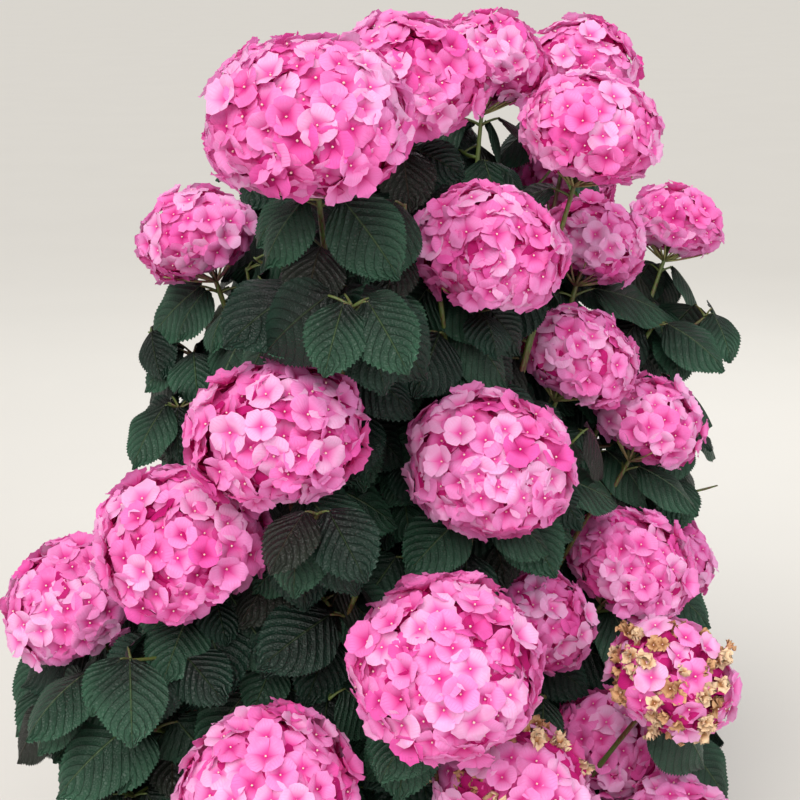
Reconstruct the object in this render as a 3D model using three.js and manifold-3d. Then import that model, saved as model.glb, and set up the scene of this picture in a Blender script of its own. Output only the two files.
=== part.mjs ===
// A pink mophead hydrangea, a clump of about twenty woody canes that rise from one stool in the ground.
// Each cane carries one mass of foliage: shoots with leaves in opposite pairs, each shoot ending in a large
// round bloom, and a few leafy twigs with no bloom. Millimetres, +Z up, +X to the viewer's right, +Y away
// from the viewer. The origin is the middle of the stool's flat cut at ground level.
import * as THREE from "three";
import { mergeVertices } from "three/addons/utils/BufferGeometryUtils.js";
import Module from "manifold-3d";

const wasm = await Module();
wasm.setup();

const UP = new THREE.Vector3(0, 0, 1);
const VIEWER = new THREE.Vector3(0, -1, 0);
const VIEWER_PLACE = new THREE.Vector3(0, -2000, 1300);
const DEGREES = Math.PI / 180;

// The gap between pieces that meet.
const JOINT_GAP = 0.3;

// The stool: the old woody foot of the clump, with its root flare. Heights and radii from the ground up.
const STOOL_PROFILE = [
  [98, 0],
  [82, 14],
  [72, 40],
  [70, 66],
  [60, 88],
  [34, 102],
];
const STOOL_HEIGHT = 108;
const STOOL_SIDES = 13;

// Canes spring from the stool in three rings. Where a ring lies, and how upright its canes start.
const RINGS = {
  inner: { radius: 21, height: 84, first_slot: 20, rise: 0.7, spread: 0.1 },
  middle: { radius: 42, height: 74, first_slot: -8, rise: 0.62, spread: 0.18 },
  outer: { radius: 61, height: 62, first_slot: -5, rise: 0.55, spread: 0.3 },
};
const CANE_FOOT_RADIUS = 8.5;
const CANE_TIP_RADIUS = 6;
const CANE_SIDES = 5;
const CANE_STEPS = 4;

// A cane ends and its mass begins at this share of the way out to, and up to, the middle of its blooms.
const FORK_OUT = 0.5;
const FORK_UP = 0.5;
const MASS_STEM_LENGTH = 30;
const MASS_STEM_NODE_RADIUS = 8;

// Shoots are the green twigs of the year. A leafy twig ends short of the blooms, below them, and swings
// out to the first of these sides, in degrees, at which it has room.
const SHOOT_RADIUS = 3.2;
const SHOOT_TIP_RADIUS = 3;
const SHOOT_SPREAD = 3.5;
const TWIG_SIDES = 3;
const SHOOT_STEPS = 3;
const LEAFY_TWIGS = 2;
const LEAFY_TWIG_REACH = 0.95;
const LEAFY_TWIG_DROP = 105;
const LEAFY_TWIG_SWINGS = [20, 30, 12, 40, 50, 65];

// Below the left shoulder the crown draws in, so the leafy twigs there reach less far out.
const CLOSER_LEAFY_TWIGS = { shoulder_left: 0.7 };

// A bloom is a dome of florets, deeper above its middle than below. Shares of half its width.
const BLOOM_TOP = 0.86;
const BLOOM_UNDERSIDE = 0.6;
const BLOOM_LUMP = 0.05;
const BLOOM_TILT_TOP = 14;
const BLOOM_TILT_FOOT = 52;
const BLOOM_TILT_HEIGHT = 1150;

// Leaves stand in opposite pairs, each pair turned a quarter from the last.
const LEAF_LENGTH = 138;
const LEAF_WIDTH_SHARE = 0.78;
const LEAF_CORNERS = [
  { along: 0.24, half: 0.46, lift: -0.03 },
  { along: 0.68, half: 0.4, lift: -0.06 },
];
const LEAF_TIP_LIFT = -0.12;
const LEAF_MIDDLE = 0.45;
const LEAF_CAMBER = 0.035;
const LEAF_THICKNESS = 0.025;
const PETIOLE_SHARE = 0.24;
const PETIOLE_RADIUS = 1.9;
const PETIOLE_RISE = 0.5;
const LEAN_OUTWARDS = 0.5;
const FACE_OUTWARDS = 0.35;
const FACE_VIEWER = 0.6;
const FIRST_PAIR_BELOW_BLOOM = 30;
const PAIR_GAP = 52;
const MOST_PAIRS = 3;
const LEAFLESS_SHARE = 0.1;
const SMALLEST_LEAF = 0.7;
const LEAST_DROOP = 0.35;
const MOST_DROOP = 1.5;

// How many lies are tried for a leaf, and what its points keep clear of.
const LEAF_TRIES = 6;
const CLEAR_OF_OTHER_LEAVES = 25;
const CLEAR_OF_OWN_LEAVES = 19;
const CLEAR_OF_OTHER_TWIGS = 19;
const CLEAR_OF_OWN_TWIGS = 14;
const CLEAR_OF_CANES = 21;
const CLEAR_OF_BLOOMS = 1.05;
const CLEAR_OF_GROUND = 25;
const POINTS_ALONG_TWIG = 14;
const POINTS_ALONG_CANE = 24;

// Blooms stand clear of leaves and leafy twigs: this share of a bloom's half width stays uncovered, this
// far out.
const CLEAR_FACE = 0.75;
const CLEAR_FACE_REACH = 420;

// The crown behind the viewer's side, as level ellipses: the height of their blooms' middles, half the
// ellipse across and deep, its middle to the right and back, and the blooms' width.
const CREST = { height: 1095, across: 215, deep: 250, right: 30, back: 60, width: 160 };
const SHOULDER = { height: 940, across: 300, deep: 370, right: 60, back: 40, width: 158 };
const WAIST = { height: 690, across: 310, deep: 410, right: 80, back: 40, width: 165 };
const KNEE = { height: 520, across: 375, deep: 415, right: 20, back: 20, width: 158 };
const FOOT = { height: 270, across: 385, deep: 390, right: 10, back: 0, width: 150 };

// A bloom that stands higher than its level is older, and wider by this share of the rise.
const WIDER_WITH_RISE = 0.2;

// A bloom whose place was read from the photograph: its middle to the right, back and up, and its width.
// It faces the viewer uncovered.
function seen(right, back, up, width) {
  const centre = new THREE.Vector3(right, back, up);
  return { centre, width, open_way: VIEWER_PLACE.clone().sub(centre).normalize() };
}

// A bloom near one of the level ellipses, raised above it or below. The bearing runs from the right, over
// the back, to the left. It faces outwards uncovered.
function behind(bearing, level, raised) {
  const right = level.right + level.across * Math.cos(bearing * DEGREES);
  const back = level.back + level.deep * Math.sin(bearing * DEGREES);
  const centre = new THREE.Vector3(right, back, level.height + raised);
  return { centre, width: level.width + raised * WIDER_WITH_RISE, open_way: outwards(centre) };
}

const MASSES = [
  { name: "crest_left", ring: "inner", blooms: [seen(-85, -353, 1130, 205), seen(5, -70, 1148, 185)] },
  { name: "crest_right", ring: "inner", blooms: [seen(110, 190, 1149, 165), seen(240, 300, 1138, 160)] },
  { name: "crest_back", ring: "inner", blooms: [behind(95, CREST, -15), behind(150, CREST, 20)] },
  { name: "shoulder_front", ring: "inner", blooms: [seen(215, -63, 1092, 170), seen(95, -164, 974, 175)] },
  { name: "shoulder_left", ring: "inner", blooms: [seen(-240, 20, 958, 150)] },
  { name: "shoulder_right", ring: "inner", blooms: [seen(240, 137, 931, 150), seen(370, 270, 933, 133)] },
  { name: "waist_right", ring: "middle", blooms: [seen(212, 0, 814, 155), seen(313, 50, 718, 145)] },
  { name: "waist_left", ring: "middle", blooms: [seen(-124, -358, 821, 185), seen(-227, -324, 694, 185)] },
  { name: "waist_front", ring: "middle", blooms: [seen(95, -253, 760, 185), seen(47, -419, 596, 200)] },
  {
    name: "back_right",
    ring: "middle",
    blooms: [behind(58, SHOULDER, 45), behind(38, WAIST, -15), behind(71, WAIST, 15)],
  },
  { name: "back_middle", ring: "middle", blooms: [behind(94, SHOULDER, -30), behind(105, WAIST, 35)] },
  { name: "back_left", ring: "middle", blooms: [behind(130, SHOULDER, 25), behind(140, WAIST, 0)] },
  { name: "knee_left", ring: "outer", blooms: [seen(-373, -193, 574, 165)] },
  { name: "knee_right", ring: "outer", blooms: [seen(165, -136, 530, 135), seen(282, -40, 562, 168)] },
  { name: "knee_front", ring: "outer", blooms: [seen(-136, -439, 468, 190), seen(118, -372, 433, 176)] },
  {
    name: "knee_front_right",
    ring: "outer",
    blooms: [seen(300, -263, 514, 155), seen(250, -130, 367, 145), behind(325, FOOT, 25)],
  },
  {
    name: "low_back_right",
    ring: "outer",
    blooms: [behind(25, KNEE, -35), behind(52, KNEE, 10), behind(30, FOOT, 20)],
  },
  {
    name: "low_back_middle",
    ring: "outer",
    blooms: [behind(79, KNEE, -45), behind(106, KNEE, 10), behind(80, FOOT, -25)],
  },
  {
    name: "low_back_left",
    ring: "outer",
    blooms: [behind(133, KNEE, -35), behind(160, KNEE, 30), behind(130, FOOT, 30)],
  },
  { name: "low_front", ring: "outer", blooms: [behind(215, FOOT, 15), behind(265, FOOT, -30)] },
];

// A repeatable stream of numbers from 0 to 1.
function makeDice(seed) {
  let state = seed;
  return () => {
    state = (state * 16807) % 2147483647;
    return state / 2147483647;
  };
}

const mix = (from, to, share) => from + (to - from) * share;

// The way that a place faces, level and outwards from the shrub's middle line.
function outwards(point) {
  return new THREE.Vector3(point.x, point.y, 0).normalize();
}

// A closed three.js geometry as a solid.
function solidOf(geometry) {
  geometry.deleteAttribute("normal");
  geometry.deleteAttribute("uv");
  const merged = mergeVertices(geometry, 1e-4);
  return new wasm.Manifold(
    new wasm.Mesh({
      numProp: 3,
      vertProperties: merged.attributes.position.array,
      triVerts: new Uint32Array(merged.index.array),
    }),
  );
}

function geometryOf(solid) {
  const { vertProperties, triVerts, numProp } = solid.getMesh();
  const positions = new Float32Array((vertProperties.length / numProp) * 3);
  for (let i = 0; i < positions.length / 3; i += 1) {
    positions.set(vertProperties.subarray(i * numProp, i * numProp + 3), i * 3);
  }
  const geometry = new THREE.BufferGeometry();
  geometry.setAttribute("position", new THREE.BufferAttribute(positions, 3));
  geometry.setIndex(new THREE.BufferAttribute(new Uint32Array(triVerts), 1));
  return geometry;
}

// A tapering limb: a cylinder bent along a curve.
function limbGeometry(curve, footRadius, tipRadius, sides, steps) {
  const geometry = new THREE.CylinderGeometry(tipRadius, footRadius, 1, sides, steps);
  const frames = curve.computeFrenetFrames(steps, false);
  const position = geometry.attributes.position;
  for (let i = 0; i < position.count; i += 1) {
    const share = position.getY(i) + 0.5;
    const step = Math.round(share * steps);
    const place = curve
      .getPoint(step / steps)
      .addScaledVector(frames.normals[step], position.getX(i))
      .addScaledVector(frames.binormals[step], -position.getZ(i));
    position.setXYZ(i, place.x, place.y, place.z);
  }
  return geometry;
}

// The middle of a mass's blooms.
function middleOf(blooms) {
  const sum = new THREE.Vector3();
  blooms.forEach((bloom) => sum.add(bloom.centre));
  return sum.divideScalar(blooms.length);
}

// The way a bloom faces: nearly up on the crest, and further outwards lower down.
function bloomAxis(bloom) {
  const tilt = mix(BLOOM_TILT_FOOT, BLOOM_TILT_TOP, bloom.centre.z / BLOOM_TILT_HEIGHT) * DEGREES;
  return UP.clone()
    .multiplyScalar(Math.cos(tilt))
    .addScaledVector(outwards(bloom.centre), Math.sin(tilt));
}

// A bloom's solid: a ball of flat faces, its corners pushed in and out as clusters of florets.
function bloomSolid(bloom) {
  const ball = new THREE.IcosahedronGeometry(1, 1);
  ball.deleteAttribute("normal");
  ball.deleteAttribute("uv");
  const geometry = mergeVertices(ball, 1e-4);
  const half = bloom.width / 2;
  const turn = new THREE.Quaternion().setFromUnitVectors(UP, bloom.axis);
  const position = geometry.attributes.position;
  const dice = makeDice(bloom.width);
  for (let i = 0; i < position.count; i += 1) {
    const lump = 1 + BLOOM_LUMP * (2 * dice() - 1);
    const height = position.getZ(i) > 0 ? BLOOM_TOP : BLOOM_UNDERSIDE;
    const place = new THREE.Vector3(position.getX(i), position.getY(i), position.getZ(i) * height);
    place.multiplyScalar(half * lump).applyQuaternion(turn).add(bloom.centre);
    position.setXYZ(i, place.x, place.y, place.z);
  }
  return solidOf(geometry);
}

// True if a place lies inside a bloom grown by the clearance.
function insideBloom(point, bloom) {
  const half = (bloom.width / 2) * CLEAR_OF_BLOOMS;
  const from = point.clone().sub(bloom.centre);
  const along = from.dot(bloom.axis);
  const across = from.addScaledVector(bloom.axis, -along).length();
  const height = along > 0 ? BLOOM_TOP : BLOOM_UNDERSIDE;
  return Math.hypot(across / half, along / (half * height)) < 1;
}

// True if a place lies in front of a bloom, where a leaf would cover it.
function coversBloom(point, bloom) {
  const from = point.clone().sub(bloom.centre);
  const ahead = from.dot(bloom.open_way);
  const aside = from.addScaledVector(bloom.open_way, -ahead).length();
  return ahead > 0 && ahead < CLEAR_FACE_REACH && aside < (bloom.width / 2) * CLEAR_FACE;
}

// A twig's curve from the fork, past its knee to its end. It starts a little off the stem's middle line, to
// the side it is bound for.
function twigCurve(mass, knee, end) {
  const side = knee.clone().sub(mass.fork);
  side.addScaledVector(mass.way, -side.dot(mass.way)).normalize();
  const start = mass.fork.clone().addScaledVector(side, SHOOT_SPREAD).addScaledVector(mass.way, -2);
  return new THREE.QuadraticBezierCurve3(start, knee, end);
}

// A shoot's curve ends in a bloom's middle, which it enters along the bloom's axis.
function shootCurve(mass, bloom) {
  const length = mass.fork.distanceTo(bloom.centre);
  const knee = bloom.centre.clone().addScaledVector(bloom.axis, -length * 0.45);
  return twigCurve(mass, knee, bloom.centre);
}

// A leafy twig's curve: beside the shoots of its mass, ending lower than their blooms, swung to one side.
function leafyCurve(mass, swing) {
  const end = middleOf(mass.blooms).applyAxisAngle(UP, swing * DEGREES);
  const reach = CLOSER_LEAFY_TWIGS[mass.name] ?? LEAFY_TWIG_REACH;
  end.x *= reach;
  end.y *= reach;
  end.z = Math.max(mass.fork.z + 40, end.z - LEAFY_TWIG_DROP);
  const knee = mass.fork.clone().lerp(end, 0.5);
  knee.z += 30;
  return twigCurve(mass, knee, end);
}

// Gives each mass of one ring its place on the stool, in the order of their bearings.
function canesOfRing(ringName) {
  const ring = RINGS[ringName];
  const masses = MASSES.filter((mass) => mass.ring === ringName);
  const bearing = (mass) => {
    const middle = middleOf(mass.blooms);
    return (Math.atan2(middle.y, middle.x) / DEGREES + 360) % 360;
  };
  masses.sort((a, b) => bearing(a) - bearing(b));
  masses.forEach((mass, slot) => {
    const angle = (ring.first_slot + (360 * slot) / masses.length) * DEGREES;
    const foot = new THREE.Vector3(Math.cos(angle), Math.sin(angle), 0).multiplyScalar(ring.radius);
    foot.z = ring.height;
    const middle = middleOf(mass.blooms);
    const tip = new THREE.Vector3(middle.x * FORK_OUT, middle.y * FORK_OUT, middle.z * FORK_UP);
    const knee = new THREE.Vector3(
      mix(foot.x, tip.x, ring.spread),
      mix(foot.y, tip.y, ring.spread),
      mix(foot.z, tip.z, ring.rise),
    );
    mass.cane = new THREE.QuadraticBezierCurve3(foot, knee, tip);
    mass.cane_points = mass.cane.getPoints(POINTS_ALONG_CANE);
  });
}

// True if no point of one list lies nearer than the clearance to a point of the other.
function areClear(points, others, clearance) {
  const least = clearance * clearance;
  return points.every((point) => others.every((other) => point.distanceToSquared(other) > least));
}

// A mass's stem and its shoots, as curves.
function growShoots(mass) {
  const tip = mass.cane.getPoint(1);
  mass.way = mass.cane.getTangent(1);
  mass.fork = tip.clone().addScaledVector(mass.way, MASS_STEM_LENGTH);
  mass.stem = new THREE.LineCurve3(tip.clone().addScaledVector(mass.way, JOINT_GAP), mass.fork);
  mass.twigs = mass.blooms.map((bloom) => ({
    curve: shootCurve(mass, bloom),
    bare_tip: (bloom.width / 2) * BLOOM_UNDERSIDE + FIRST_PAIR_BELOW_BLOOM,
  }));
  mass.twig_points = mass.twigs.flatMap(({ curve }) => curve.getPoints(POINTS_ALONG_TWIG));
}

// True if a leafy twig crosses no bloom's face and is clear of blooms, canes and the twigs of other masses.
function leafyTwigHasRoom(mass, curve) {
  const points = curve.getPoints(POINTS_ALONG_TWIG);
  const free = points.slice(4);
  return MASSES.every((other) => {
    if (other.blooms.some((bloom) => points.some((point) => insideBloom(point, bloom)))) return false;
    if (other.blooms.some((bloom) => points.some((point) => coversBloom(point, bloom)))) return false;
    if (!areClear(free, other.cane_points, CLEAR_OF_CANES)) return false;
    return other === mass || areClear(points, other.twig_points, CLEAR_OF_OTHER_TWIGS);
  });
}

// A mass's leafy twigs, to the left and right in turn, each at the first swing that has room for it.
function growLeafyTwigs(mass) {
  for (let number = 0; number < LEAFY_TWIGS; number += 1) {
    const sign = number % 2 ? 1 : -1;
    const curves = LEAFY_TWIG_SWINGS.map((swing) => leafyCurve(mass, sign * swing));
    const curve = curves.find((one) => leafyTwigHasRoom(mass, one));
    if (curve) {
      mass.twigs.push({ curve, bare_tip: 4 });
      mass.twig_points.push(...curve.getPoints(POINTS_ALONG_TWIG));
    }
  }
}

// The place a share of the way along a twig, on the straight pieces that its solid is made of.
function pointOnTwig(curve, share) {
  const step = Math.min(Math.floor(share * SHOOT_STEPS), SHOOT_STEPS - 1);
  const from = curve.getPoint(step / SHOOT_STEPS);
  return from.lerp(curve.getPoint((step + 1) / SHOOT_STEPS), share * SHOOT_STEPS - step);
}

// The places for leaves on one mass, in opposite pairs from the top of each twig down. Each place has the
// numbers for all its tries drawn whether or not they are used.
function markLeafPlaces(mass, seed) {
  const dice = makeDice(seed);
  mass.places = [];
  mass.twigs.forEach(({ curve, bare_tip }) => {
    const length = curve.v0.distanceTo(curve.v2);
    const turn = dice() * 2 * Math.PI;
    for (let pair = 0; pair < MOST_PAIRS; pair += 1) {
      if (bare_tip + pair * PAIR_GAP > length * (1 - LEAFLESS_SHARE)) break;
      const root = pointOnTwig(curve, 1 - (bare_tip + pair * PAIR_GAP) / length);
      for (const opposite of [0, Math.PI]) {
        const lies = [];
        for (let count = 0; count < LEAF_TRIES; count += 1) {
          const azimuth = turn + (pair * Math.PI) / 2 + opposite + (dice() - 0.5) * 0.9;
          const size = mix(SMALLEST_LEAF, 1, dice());
          const droop = mix(LEAST_DROOP, MOST_DROOP, dice());
          const twist = (dice() - 0.5) * 0.6;
          lies.push({ azimuth, size, droop, twist });
        }
        mass.places.push({ mass, pair, root, lies });
      }
    }
  });
}

// A leaf from its place and its lie: its root, its frame and its corners.
function layLeaf(root, { azimuth, size, droop, twist }) {
  const out = outwards(root);
  const around = new THREE.Vector3(Math.cos(azimuth), Math.sin(azimuth), 0);
  const level = around.addScaledVector(out, LEAN_OUTWARDS).normalize();
  const length = LEAF_LENGTH * size;
  const petiole = level.clone().addScaledVector(UP, PETIOLE_RISE).normalize();
  const base = root.clone().addScaledVector(petiole, length * PETIOLE_SHARE);
  const along = level.clone().addScaledVector(UP, -droop).normalize();
  const light = UP.clone().addScaledVector(out, FACE_OUTWARDS).addScaledVector(VIEWER, FACE_VIEWER);
  const facing = light.applyAxisAngle(along, twist);
  const normal = facing.addScaledVector(along, -facing.dot(along)).normalize();
  const side = new THREE.Vector3().crossVectors(along, normal);
  const at = (share, across, lift) =>
    base
      .clone()
      .addScaledVector(along, share * length)
      .addScaledVector(side, across * length * LEAF_WIDTH_SHARE)
      .addScaledVector(normal, lift * length);
  const right = LEAF_CORNERS.map((corner) => at(corner.along, corner.half, corner.lift));
  const left = LEAF_CORNERS.map((corner) => at(corner.along, -corner.half, corner.lift));
  const tip = at(1, 0, LEAF_TIP_LIFT);
  const top = at(LEAF_MIDDLE, 0, LEAF_CAMBER);
  const under = at(LEAF_MIDDLE, 0, LEAF_CAMBER - LEAF_THICKNESS);
  const blade = [base, top, tip];
  blade.push(at(0.24, 0.15, 0), at(0.24, -0.15, 0), at(0.68, 0.13, 0), at(0.68, -0.13, 0));
  blade.push(at(0.46, 0.46, -0.04), at(0.46, -0.46, -0.04), at(0.86, 0.19, -0.08), at(0.86, -0.19, -0.08));
  blade.push(...right, ...left);
  const points = [...blade, root.clone().lerp(base, 0.5)];
  return { root, base, petiole, normal, side, right, left, tip, top, under, blade, points };
}

// True if a leaf covers no bloom and is clear of the ground, canes, blooms, twigs and leaves there so far.
function leafHasRoom(leaf, mass) {
  const { blade, points } = leaf;
  if (points.some((point) => point.z < CLEAR_OF_GROUND)) return false;
  if (!areClear(blade, mass.twig_points, CLEAR_OF_OWN_TWIGS)) return false;
  return MASSES.every((other) => {
    const own = other === mass;
    if (other.blooms.some((bloom) => points.some((point) => insideBloom(point, bloom)))) return false;
    if (other.blooms.some((bloom) => points.some((point) => coversBloom(point, bloom)))) return false;
    if (!areClear(points, other.cane_points, CLEAR_OF_CANES)) return false;
    if (!own && !areClear(points, other.twig_points, CLEAR_OF_OTHER_TWIGS)) return false;
    const clearance = own ? CLEAR_OF_OWN_LEAVES : CLEAR_OF_OTHER_LEAVES;
    return other.leaves.every((one) => areClear(points, one.points, clearance));
  });
}

// Puts a leaf at every place that has room for one, all the top pairs first, then the pairs below.
function growLeaves() {
  const places = MASSES.flatMap((mass) => mass.places).sort((a, b) => a.pair - b.pair);
  places.forEach(({ mass, root, lies }) => {
    const leaf = lies.map((lie) => layLeaf(root, lie)).find((one) => leafHasRoom(one, mass));
    if (leaf) mass.leaves.push(leaf);
  });
}

// A leaf's solid: a three-sided petiole that opens into a thin blade with a raised middle.
function leafSolid(leaf) {
  const { root, base, petiole, normal, side, right, left, tip, top, under } = leaf;
  const rootUp = normal.clone().addScaledVector(petiole, -normal.dot(petiole)).normalize();
  const baseUp = rootUp.clone().add(normal).normalize();
  const ring = (centre, up) => [
    centre.clone().addScaledVector(up, PETIOLE_RADIUS),
    centre.clone().addScaledVector(side, -PETIOLE_RADIUS).addScaledVector(up, -PETIOLE_RADIUS / 2),
    centre.clone().addScaledVector(side, PETIOLE_RADIUS).addScaledVector(up, -PETIOLE_RADIUS / 2),
  ];
  const rings = [...ring(root, rootUp), ...ring(base, baseUp)];
  const points = [...rings, ...left, tip, ...right.toReversed(), top, under];
  const [top0, left0, right0, top1, left1, right1] = [0, 1, 2, 3, 4, 5];
  const margin = [left1, 6, 7, 8, 9, 10, right1];
  const [topMiddle, underMiddle] = [11, 12];
  const faces = [top0, left0, right0];
  faces.push(top0, top1, left1, top0, left1, left0);
  faces.push(left0, left1, right1, left0, right1, right0);
  faces.push(right0, right1, top1, right0, top1, top0);
  for (let i = 0; i + 1 < margin.length; i += 1) {
    faces.push(topMiddle, margin[i + 1], margin[i]);
    faces.push(underMiddle, margin[i], margin[i + 1]);
  }
  faces.push(topMiddle, left1, top1, topMiddle, top1, right1);
  faces.push(underMiddle, right1, left1);
  return new wasm.Manifold(
    new wasm.Mesh({
      numProp: 3,
      vertProperties: new Float32Array(points.flatMap((point) => [point.x, point.y, point.z])),
      triVerts: new Uint32Array(faces),
    }),
  );
}

function stoolSolid(grow) {
  const profile = STOOL_PROFILE.map(([radius, height]) => new THREE.Vector2(radius + grow, height));
  const flat = new THREE.Vector2(0, 0);
  const crown = new THREE.Vector2(0, STOOL_HEIGHT + grow);
  profile[profile.length - 1].y += grow;
  const geometry = new THREE.LatheGeometry([flat, ...profile, crown], STOOL_SIDES);
  geometry.rotateX(Math.PI / 2);
  return solidOf(geometry);
}

function caneSolid(mass, grownStool) {
  const limb = limbGeometry(mass.cane, CANE_FOOT_RADIUS, CANE_TIP_RADIUS, CANE_SIDES, CANE_STEPS);
  return solidOf(limb).subtract(grownStool);
}

// A mass's one solid: stem, shoots, leafy twigs, leaves and blooms joined.
function massSolid(mass) {
  const stem = solidOf(limbGeometry(mass.stem, CANE_TIP_RADIUS, MASS_STEM_NODE_RADIUS, CANE_SIDES, 1));
  const twigs = mass.twigs.map(({ curve }) =>
    solidOf(limbGeometry(curve, SHOOT_RADIUS, SHOOT_TIP_RADIUS, TWIG_SIDES, SHOOT_STEPS)),
  );
  const leaves = mass.leaves.map(leafSolid);
  const blooms = mass.blooms.map(bloomSolid);
  return wasm.Manifold.union([stem, ...twigs, ...leaves, ...blooms]);
}

const bark = new THREE.MeshStandardMaterial({ color: 0x6d5a48, roughness: 0.9, metalness: 0 });
const foliage = new THREE.MeshStandardMaterial({ color: 0x3c5a3e, roughness: 0.6, metalness: 0 });

const shrub = new THREE.Group();
function add(name, solid, material) {
  const mesh = new THREE.Mesh(geometryOf(solid), material);
  mesh.name = name;
  shrub.add(mesh);
}

MASSES.forEach((mass) => {
  mass.leaves = [];
  mass.blooms.forEach((bloom) => {
    bloom.axis = bloomAxis(bloom);
  });
});
Object.keys(RINGS).forEach(canesOfRing);
MASSES.forEach(growShoots);
MASSES.forEach(growLeafyTwigs);
MASSES.forEach((mass, number) => markLeafPlaces(mass, 1009 + 97 * number));
growLeaves();

const grownStool = stoolSolid(JOINT_GAP);
add("stool", stoolSolid(0), bark);
MASSES.forEach((mass) => {
  add(`cane_${mass.name}`, caneSolid(mass, grownStool), bark);
  add(`mass_${mass.name}`, massSolid(mass), foliage);
});

export default shrub;
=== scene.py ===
# %% [markdown]
# # A pink mophead hydrangea
# A bigleaf hydrangea is a clump of woody canes that spring from one old stool. Each cane forks into green
# shoots, each shoot carries broad toothed leaves in opposite pairs, and most shoots end in a round head of
# four-petalled florets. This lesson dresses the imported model: its stool and canes get bark, and each mass
# of foliage is grown again by the same rule, this time with real leaves and florets.

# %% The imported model
import math
from collections import namedtuple
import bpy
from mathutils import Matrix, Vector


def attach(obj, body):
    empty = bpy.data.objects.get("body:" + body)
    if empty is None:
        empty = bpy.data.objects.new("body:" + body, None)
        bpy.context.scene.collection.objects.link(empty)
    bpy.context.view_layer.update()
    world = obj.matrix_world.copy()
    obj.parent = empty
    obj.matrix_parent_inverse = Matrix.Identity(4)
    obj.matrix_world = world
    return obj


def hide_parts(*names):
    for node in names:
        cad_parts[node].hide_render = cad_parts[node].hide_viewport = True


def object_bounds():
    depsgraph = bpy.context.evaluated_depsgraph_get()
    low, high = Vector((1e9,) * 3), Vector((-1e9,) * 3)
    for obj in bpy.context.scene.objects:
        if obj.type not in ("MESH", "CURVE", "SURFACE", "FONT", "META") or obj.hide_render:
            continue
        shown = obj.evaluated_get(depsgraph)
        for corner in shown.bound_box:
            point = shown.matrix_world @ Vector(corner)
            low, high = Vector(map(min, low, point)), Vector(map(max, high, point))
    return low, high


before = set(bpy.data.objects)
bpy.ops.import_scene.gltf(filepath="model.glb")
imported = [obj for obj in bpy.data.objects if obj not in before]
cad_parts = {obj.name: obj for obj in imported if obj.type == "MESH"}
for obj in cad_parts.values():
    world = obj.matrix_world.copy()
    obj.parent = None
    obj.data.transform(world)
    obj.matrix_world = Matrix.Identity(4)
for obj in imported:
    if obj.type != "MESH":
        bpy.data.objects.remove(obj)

from types import SimpleNamespace

import bmesh
import bpy
import numpy as np
from mathutils import Matrix, Vector, noise

cad_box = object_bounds()
print("nodes", len(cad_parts), "box", [list(corner) for corner in cad_box])

# %% [markdown]
# ## Objects and meshes
# An object is a name and a place for its data, such as a camera, a lamp or a mesh, and shows only once it is
# linked to the scene. A bmesh is a mesh on the workbench, and has to be written to a real one at the end.


# %% Two steps that every object and mesh needs
def link_object(name, data):
    made = bpy.data.objects.new(name, data)
    bpy.context.scene.collection.objects.link(made)
    return made


def mesh_from(bm, name):
    mesh = bpy.data.meshes.new(name)
    bm.to_mesh(mesh)
    bm.free()
    return mesh


# %% [markdown]
# ## The camera
# A camera could be fitted by eye, but here it was worked out from the heads: it stands 2 m in front of the
# stool and 1.3 m up, looks 15 degrees down, and its long lens keeps near and far heads nearly the same size.

# %% The camera
camera_lens = bpy.data.cameras.new("garden_path_view")
camera_lens.sensor_width = 36.0
camera_lens.lens = 76.4
camera = link_object("garden_path_view", camera_lens)
camera.location = (0.0, -2.0, 1.3)
camera.rotation_euler = (math.radians(90 - 15), 0.0, 0.0)
bpy.context.scene.camera = camera
print("camera at", tuple(camera.location))

# %% [markdown]
# ## Colours and nodes
# Colours are picked as sRGB hex values, as on a paint chart, but shaders add light in linear values, so one
# function turns them. Another adds a node: its settings are attributes, its inputs are numbers or links. The
# others are the few steps that every material here is made of.


# %% Helpers for materials
def linear(hex_code):
    channels = [int(hex_code[i : i + 2], 16) / 255 for i in (1, 3, 5)]
    turned = [c / 12.92 if c <= 0.04045 else ((c + 0.055) / 1.055) ** 2.4 for c in channels]
    return (*turned, 1.0)


def node(tree, kind, settings=None, inputs=None):
    made = tree.nodes.new("ShaderNode" + kind)
    for name, value in (settings or {}).items():
        setattr(made, name, value)
    for name, value in (inputs or {}).items():
        if isinstance(value, bpy.types.NodeSocket):
            tree.links.new(value, made.inputs[name])
        else:
            made.inputs[name].default_value = value
    return made


def new_material(name):
    material = bpy.data.materials.new(name)
    material.use_nodes = True
    material.node_tree.nodes.clear()
    return material, material.node_tree


def place_in(tree, squeezed_up=1.0):
    place = node(tree, "TexCoord").outputs["Object"]
    if squeezed_up == 1.0:
        return place
    return node(tree, "Mapping", {}, {"Vector": place, "Scale": (1.0, 1.0, squeezed_up)}).outputs[0]


def cloudy(tree, place, scale, detail=3.0, roughness=0.5):
    inputs = {"Vector": place, "Scale": scale, "Detail": detail, "Roughness": roughness}
    return node(tree, "TexNoise", {}, inputs).outputs["Fac"]


def maths(tree, operation, *values, clamp=False):
    settings = {"operation": operation, "use_clamp": clamp}
    return node(tree, "Math", settings, dict(enumerate(values))).outputs[0]


def fading(tree, value, limit, start=1.0, end=0.0):
    ends = {"Value": value, "From Max": limit, "To Min": start, "To Max": end}
    return node(tree, "MapRange", {"interpolation_type": "SMOOTHSTEP"}, ends).outputs[0]


def mixed(tree, share, *colours):
    first, second = (linear(colour) if isinstance(colour, str) else colour for colour in colours)
    return node(tree, "MixRGB", {}, {"Fac": share, "Color1": first, "Color2": second}).outputs[0]


def bumped(tree, height, strength, depth, **under):
    inputs = {"Height": height, "Strength": strength, "Distance": depth, **under}
    return node(tree, "Bump", {}, inputs).outputs[0]


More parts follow.
